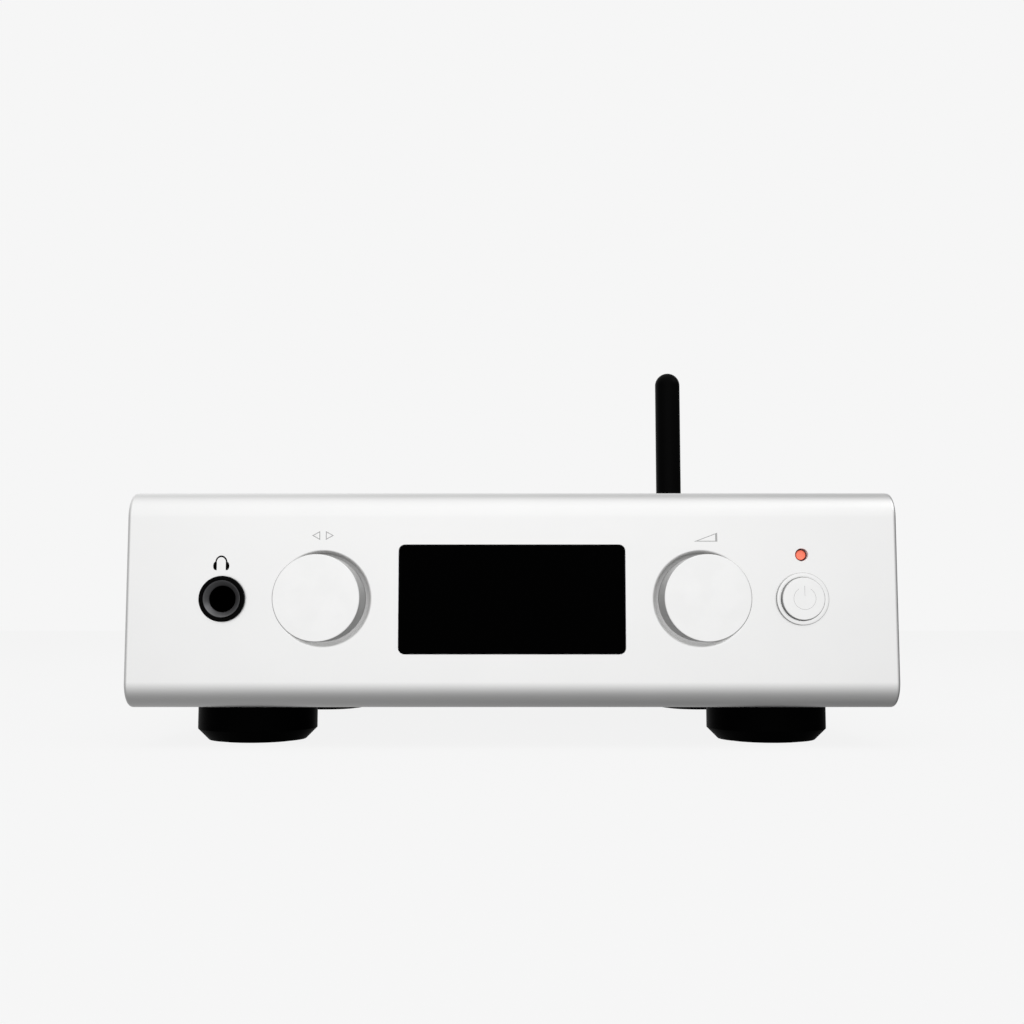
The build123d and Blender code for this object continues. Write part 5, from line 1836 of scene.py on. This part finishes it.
@dataclass
class Antenna:
    """Rear antenna: collar, knuckle and round-tipped mast."""

    pivot_depth: float = 198.0
    radius: float = 5.0
    tip: float = 133.1
    slot_half: float = 2.1
    slot_top: float = 5.3
    pin_radius: float = 1.22
    clear: float = 6.0
    collar_radius: float = 4.7
    collar_bore: float = 3.15
    knuckle_bore: float = 2.05
    collar_start: float = 182.6
    collar_end: float = 189.6
    collar_shoulder: float = 188.2
    collar_rings: tuple[float, ...] = (183.4, 186.0, 188.8)
    flute_depth: float = 0.3
    flutes: int = 20

    def collar(self) -> Skin:
        """Make the coupling collar with straight grip flutes.

        The radius dips by the flute's depth times the eighth power of a cosine, which has one peak for each
        flute. Only what stands at the collar's full radius dips.

        Returns:
            The collar's skin.
        """
        full, shoulder = self.collar_radius, self.collar_shoulder
        start, end = self.collar_start, self.collar_end
        profile = softened([
            (self.collar_bore, start), (full, start, 0.25), *[(full, depth) for depth in self.collar_rings],
            (full, end, 0.25), (self.knuckle_bore, end), (self.knuckle_bore, shoulder),
            (self.collar_bore, shoulder), (self.collar_bore, start),
        ], 4)
        count = 160
        angle = np.linspace(0, 2 * math.pi, count, endpoint=False)
        dip = -self.flute_depth * np.cos(self.flutes / 2 * angle) ** 8
        wobble = (profile[:, :1] > full - 0.1) * dip
        return Skin().turned(profile, ANTENNA_AT, count=count, wobble=wobble)

    def mast(self) -> Skin:
        """Make the mast's rod with its round tip.

        The surface is a stack of circles. Below the pivot a circle at height h under it is squeezed in depth
        to the chord of the lower end's own circle, the root of radius squared less h squared.

        Returns:
            The rod's skin.
        """
        x, z = ANTENNA_AT
        drop = self.radius * np.sin(np.linspace(math.pi / 2, 0, 17))[:-1]
        tip = np.linspace(0, math.pi / 2, 25)
        shoulder = self.tip - self.radius
        straight = [z, *np.linspace(z + 6, shoulder - 0.01, 12)]
        heights = np.concatenate([z - drop, straight, shoulder + self.radius * np.sin(tip)])
        radii = np.concatenate([np.full(len(drop) + len(straight), self.radius), self.radius * np.cos(tip)])
        chord = np.full(len(radii), 2 * self.radius)
        chord[:len(drop)] = np.sqrt(np.maximum(self.radius**2 - drop**2, 0))
        angle = np.linspace(0, 2 * math.pi, 96, endpoint=False)
        across = radii[:, None] * np.cos(angle)
        back = np.clip(radii[:, None] * np.sin(angle), -chord[:, None], chord[:, None])
        pivot = PANEL_FACE_Y + self.pivot_depth
        up = np.broadcast_to(heights[:, None], back.shape)
        return Skin().grid(np.stack([x + across, pivot + back, up], axis=2))

    def fork(self) -> list[Skin]:
        """Make what is cut from the mast's lower end: the slot between its prongs, and the pin's hole.

        Returns:
            The two cutters.
        """
        x, z = ANTENNA_AT
        slot = Skin().bar(
            (x - self.slot_half, self.pivot_depth - self.clear, z - self.clear),
            (x + self.slot_half, self.pivot_depth + self.clear, z + self.slot_top),
        )
        hole = ring((self.pivot_depth, z), self.pin_radius, 32)
        sides = [at_x(hole, x + reach) for reach in (-self.clear, self.clear)]
        return [slot, Skin().grid(np.stack(sides)).fill(sides[0]).fill(sides[1])]

    def build(self, nodes: Nodes) -> None:
        """Make the mast and the collar, and dress the rest.

        Args:
            nodes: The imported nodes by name.
        """
        make_piece("antenna_rod", self.mast(), Palette.ANTENNA, ["antenna_mast"], Body.MAST, self.fork())
        make_piece("antenna_grip_collar", self.collar(), Palette.GOLD, ["antenna_collar"])
        dress(nodes, Palette.GOLD, "antenna_jack", "antenna_jack_nut")
        dress(nodes, Palette.ANTENNA, "antenna_knuckle")
        dress(nodes, Palette.SCREW, "antenna_pin")


@dataclass
class RearConnectors:
    """Line outputs, coaxial, optical and data inputs, and the mains inlet."""

    shell_inside: float = 3.55
    shell_radius: float = 4.15
    shell_end: float = 189.5
    core_radius: float = 3.5
    core_end: float = 187.0
    pin_radius: float = 1.65
    pin_end: float = 172.0
    flange_radius: float = 5.3
    box: Size = (12.0, 19.0)
    box_z: float = 29.1
    box_end: float = 163.5

    def shell(self, at: Place) -> Skin:
        """Make the outer contact of one phono socket: a thin tube with a turned lip.

        Args:
            at: The socket's axis.

        Returns:
            The contact's skin.
        """
        return Skin().turned([
            (self.shell_inside, REAR_END), (self.shell_inside, self.shell_end, 0.1),
            (self.shell_radius, self.shell_end, 0.25), (self.shell_radius, REAR_END),
            (self.shell_inside, REAR_END),
        ], at, count=64)

    def core(self, at: Place) -> Skin:
        """Make the insulating core of one phono socket, bored for the plug's pin.

        Args:
            at: The socket's axis.

        Returns:
            The core's skin.
        """
        skin = Skin().turned([
            (self.core_radius, REAR_END), (self.core_radius, self.core_end, 0.25),
            (self.pin_radius, self.core_end, 0.3), (self.pin_radius, self.pin_end), (0.0, self.pin_end),
        ], at, count=64)
        flange = self.flange_radius
        nose = [(self.core_radius, REAR_END), (flange, REAR_END, 0.2), (flange, REAR_START)]
        box = frame((at[0], self.box_z), self.box, 0.4, 3)
        skin.turned(nose, at, count=64).step(box, REAR_START, self.box_end, ring(at, flange))
        return skin.web(self.box_end, box)

    def build(self, nodes: Nodes) -> None:
        """Make the phono sockets and dress the other connectors.

        Args:
            nodes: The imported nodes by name.
        """
        for kind, at in PHONO_AT.items():
            make_piece(f"phono_core_{kind}", self.core(at), Palette.CORES[kind], ["phono_housings"])
            make_piece(f"phono_shell_{kind}", self.shell(at), Palette.GOLD, ["phono_shells"])
        dress(nodes, Palette.BLACK, "mains_inlet", "optical_socket", "optical_flap")
        dress(nodes, Palette.SHELL, "usb_socket", "inlet_pins")


@dataclass
class Interior:
    """What works inside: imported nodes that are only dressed."""

    winding_at: Place = (-47.0, 3.9)

    def build(self, nodes: Nodes) -> None:
        """Dress the inner nodes.

        Args:
            nodes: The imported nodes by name.
        """
        dress(nodes, Palette.BLACK, "sel_plunger", "board_chips")
        dress(nodes, Palette.SHELL, "sel_encoder", "vol_encoder", "encoder_nuts")
        dress(nodes, Palette.SHAFT, "sel_shaft", "vol_shaft")
        dress(nodes, Palette.SCREW_BLACK, "sel_grub_screw", "vol_grub_screw")
        dress(nodes, Palette.BOARD, "front_board", "main_board", "bluetooth_module")
        dress(nodes, Palette.NYLON, "board_spacers")
        dress(nodes, Palette.BRASS, "board_standoffs")
        dress(nodes, Palette.SCREW, "board_screws", "transformer_bolt", "transformer_dish")
        dress(nodes, Palette.SLEEVE, "filter_capacitors")
        dress(nodes, Palette.HEATSINK, "heatsink")
        dress(nodes, Palette.RIBBON, "board_ribbon")
        dress(nodes, WoundTape("wound_tape", "transformer_winding", self.winding_at), "transformer")


# Studio


@dataclass
class Studio:
    """Plain pale backdrop and floor, soft light all round, one broad lamp, and the camera.

    The sky's light is given as stops of (height, grey); the height is 0 straight below and 1 straight above.
    """

    pale: float = 0.9216
    front_light: tuple[Place, ...] = (
        (0.02, 0.24), (0.075, 0.3), (0.18, 0.5), (0.28, 0.7), (0.415, 0.94),
        (0.5, 1.05), (0.545, 1.13), (0.7, 1.07), (0.91, 1.08), (1.0, 1.0),
    )
    rear_light: tuple[Place, ...] = (
        (0.05, 0.22), (0.3, 0.34), (0.5, 0.75), (0.6, 0.85), (0.82, 0.74), (0.93, 0.5), (1.0, 0.72)
    )
    side_share: tuple[Place, ...] = ((0.0, 1.0), (0.3, 0.98), (0.57, 0.7), (0.89, 0.45), (1.0, 0.3))
    glint_toward: Colour = (0.714, -0.175, 0.678)
    glint: float = 1.2
    shadow_share: float = 0.035
    floor_light: float = 1.35
    floor_reach: float = 6000.0
    floor_paint: float = 0.95
    lamp_size: float = 1.2
    lamp_watts: float = 9.0
    lamp_place: Colour = (0.0, -0.45, 1.0)
    lamp_tilt_deg: float = 25.0
    camera_place: Colour = (0.0, -0.4002, 0.03019)
    camera_tilt_deg: float = 95.21
    lens_mm: float = 43.456
    sensor_mm: float = 36.0

    def sky(self) -> None:
        """Write the world: even and pale to the camera, a soft gradient of studio light to all else."""
        world = bpy.data.worlds.new("studio")
        bpy.context.scene.world = world
        recipe = Recipe(world)
        x, y, z = recipe.parts(recipe.signal("ShaderNodeTexCoord", output="Generated"))
        height = z * 0.5 + 0.5
        behind = y.eased(-0.15, 0.35)
        front, rear = recipe.ramp(height, self.front_light), recipe.ramp(height, self.rear_light)
        studio = front * (1.0 - behind) + rear * behind * (1.0 - x * 0.8)
        aside = recipe.ramp(abs(x), self.side_share)
        toward = self.glint_toward
        glint = (x * toward[0] + y * toward[1] + z * toward[2]).eased(0.9, 0.99)
        lit = studio * aside * (1.02 - x * 0.05) + glint * self.glint
        path = recipe.node("ShaderNodeLightPath").outputs
        seen = Signal(recipe, path["Is Camera Ray"]) + Signal(recipe, path["Is Transmission Ray"])
        colour = recipe.mix(seen, lit, (self.pale,) * 3)
        glow = recipe.node("ShaderNodeBackground", sockets={"Color": colour, "Strength": 1.0})
        recipe.node("ShaderNodeOutputWorld", sockets={0: glow.outputs[0]})

    def floor(self) -> None:
        """Lay the floor: pale to the camera, taking a light share of real shadow under the object."""
        far = self.floor_reach
        skin = Skin().fill(np.array([(-far, -far, 0), (far, -far, 0), (far, far, 0), (-far, far, 0)]))
        floor = placed("studio_floor", skin.mesh("studio_floor"))
        material = bpy.data.materials.new("studio_floor_paint")
        recipe = Recipe(material)
        paint = recipe.node("ShaderNodeBsdfDiffuse", sockets={"Color": (*(self.floor_paint,) * 3, 1.0)})
        even = (self.pale - self.shadow_share * self.floor_light) / (1 - self.shadow_share)
        glow = recipe.node("ShaderNodeEmission", sockets={"Color": (even, even, even, 1.0), "Strength": 1.0})
        shares = {0: self.shadow_share, 1: glow.outputs[0], 2: paint.outputs[0]}
        shown = recipe.node("ShaderNodeMixShader", sockets=shares)
        recipe.node("ShaderNodeOutputMaterial", sockets={0: shown.outputs[0]})
        floor.data.materials.append(material)
        floor.visible_glossy = False
        floor.visible_diffuse = False

    def lamp(self) -> None:
        """Hang one broad, weak lamp above and a little in front, which nothing mirrors."""
        light = bpy.data.lights.new("soft_lamp", "AREA")
        light.shape, light.size, light.energy = "DISK", self.lamp_size, self.lamp_watts
        lamp = placed("soft_lamp", light)
        lamp.location = self.lamp_place
        lamp.rotation_euler = (math.radians(self.lamp_tilt_deg), 0.0, 0.0)
        lamp.visible_glossy = False

    def camera(self) -> None:
        """Set up the camera low in front, tilted slightly up."""
        data = bpy.data.cameras.new("camera")
        data.sensor_width, data.lens = self.sensor_mm, self.lens_mm
        data.clip_start, data.clip_end = 0.01, 50.0
        camera = placed("camera", data)
        camera.location = self.camera_place
        camera.rotation_euler = (math.radians(self.camera_tilt_deg), 0.0, 0.0)
        bpy.context.scene.camera = camera

    def build(self) -> None:
        """Set up the whole studio."""
        bpy.context.scene.view_settings.view_transform = "Standard"
        self.sky()
        self.floor()
        self.lamp()
        self.camera()


def main() -> None:
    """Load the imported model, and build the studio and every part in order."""
    logging.basicConfig(level=logging.INFO, format="%(name)s: %(message)s")
    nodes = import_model()["nodes"]
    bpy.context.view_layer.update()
    Studio().build()
    Casing().build(nodes)
    Feet().build()
    Knob("sel_knob", Body.SELECT_KNOB, SELECT_AT).build()
    Knob("vol_knob", Body.VOLUME_KNOB, VOLUME_AT).build()
    Display().build(nodes)
    HeadphoneSocket().build(nodes)
    PowerControl().build(nodes)
    Markings().build()
    Antenna().build(nodes)
    RearConnectors().build(nodes)
    Interior().build(nodes)


if __name__ == "__main__":
    main()
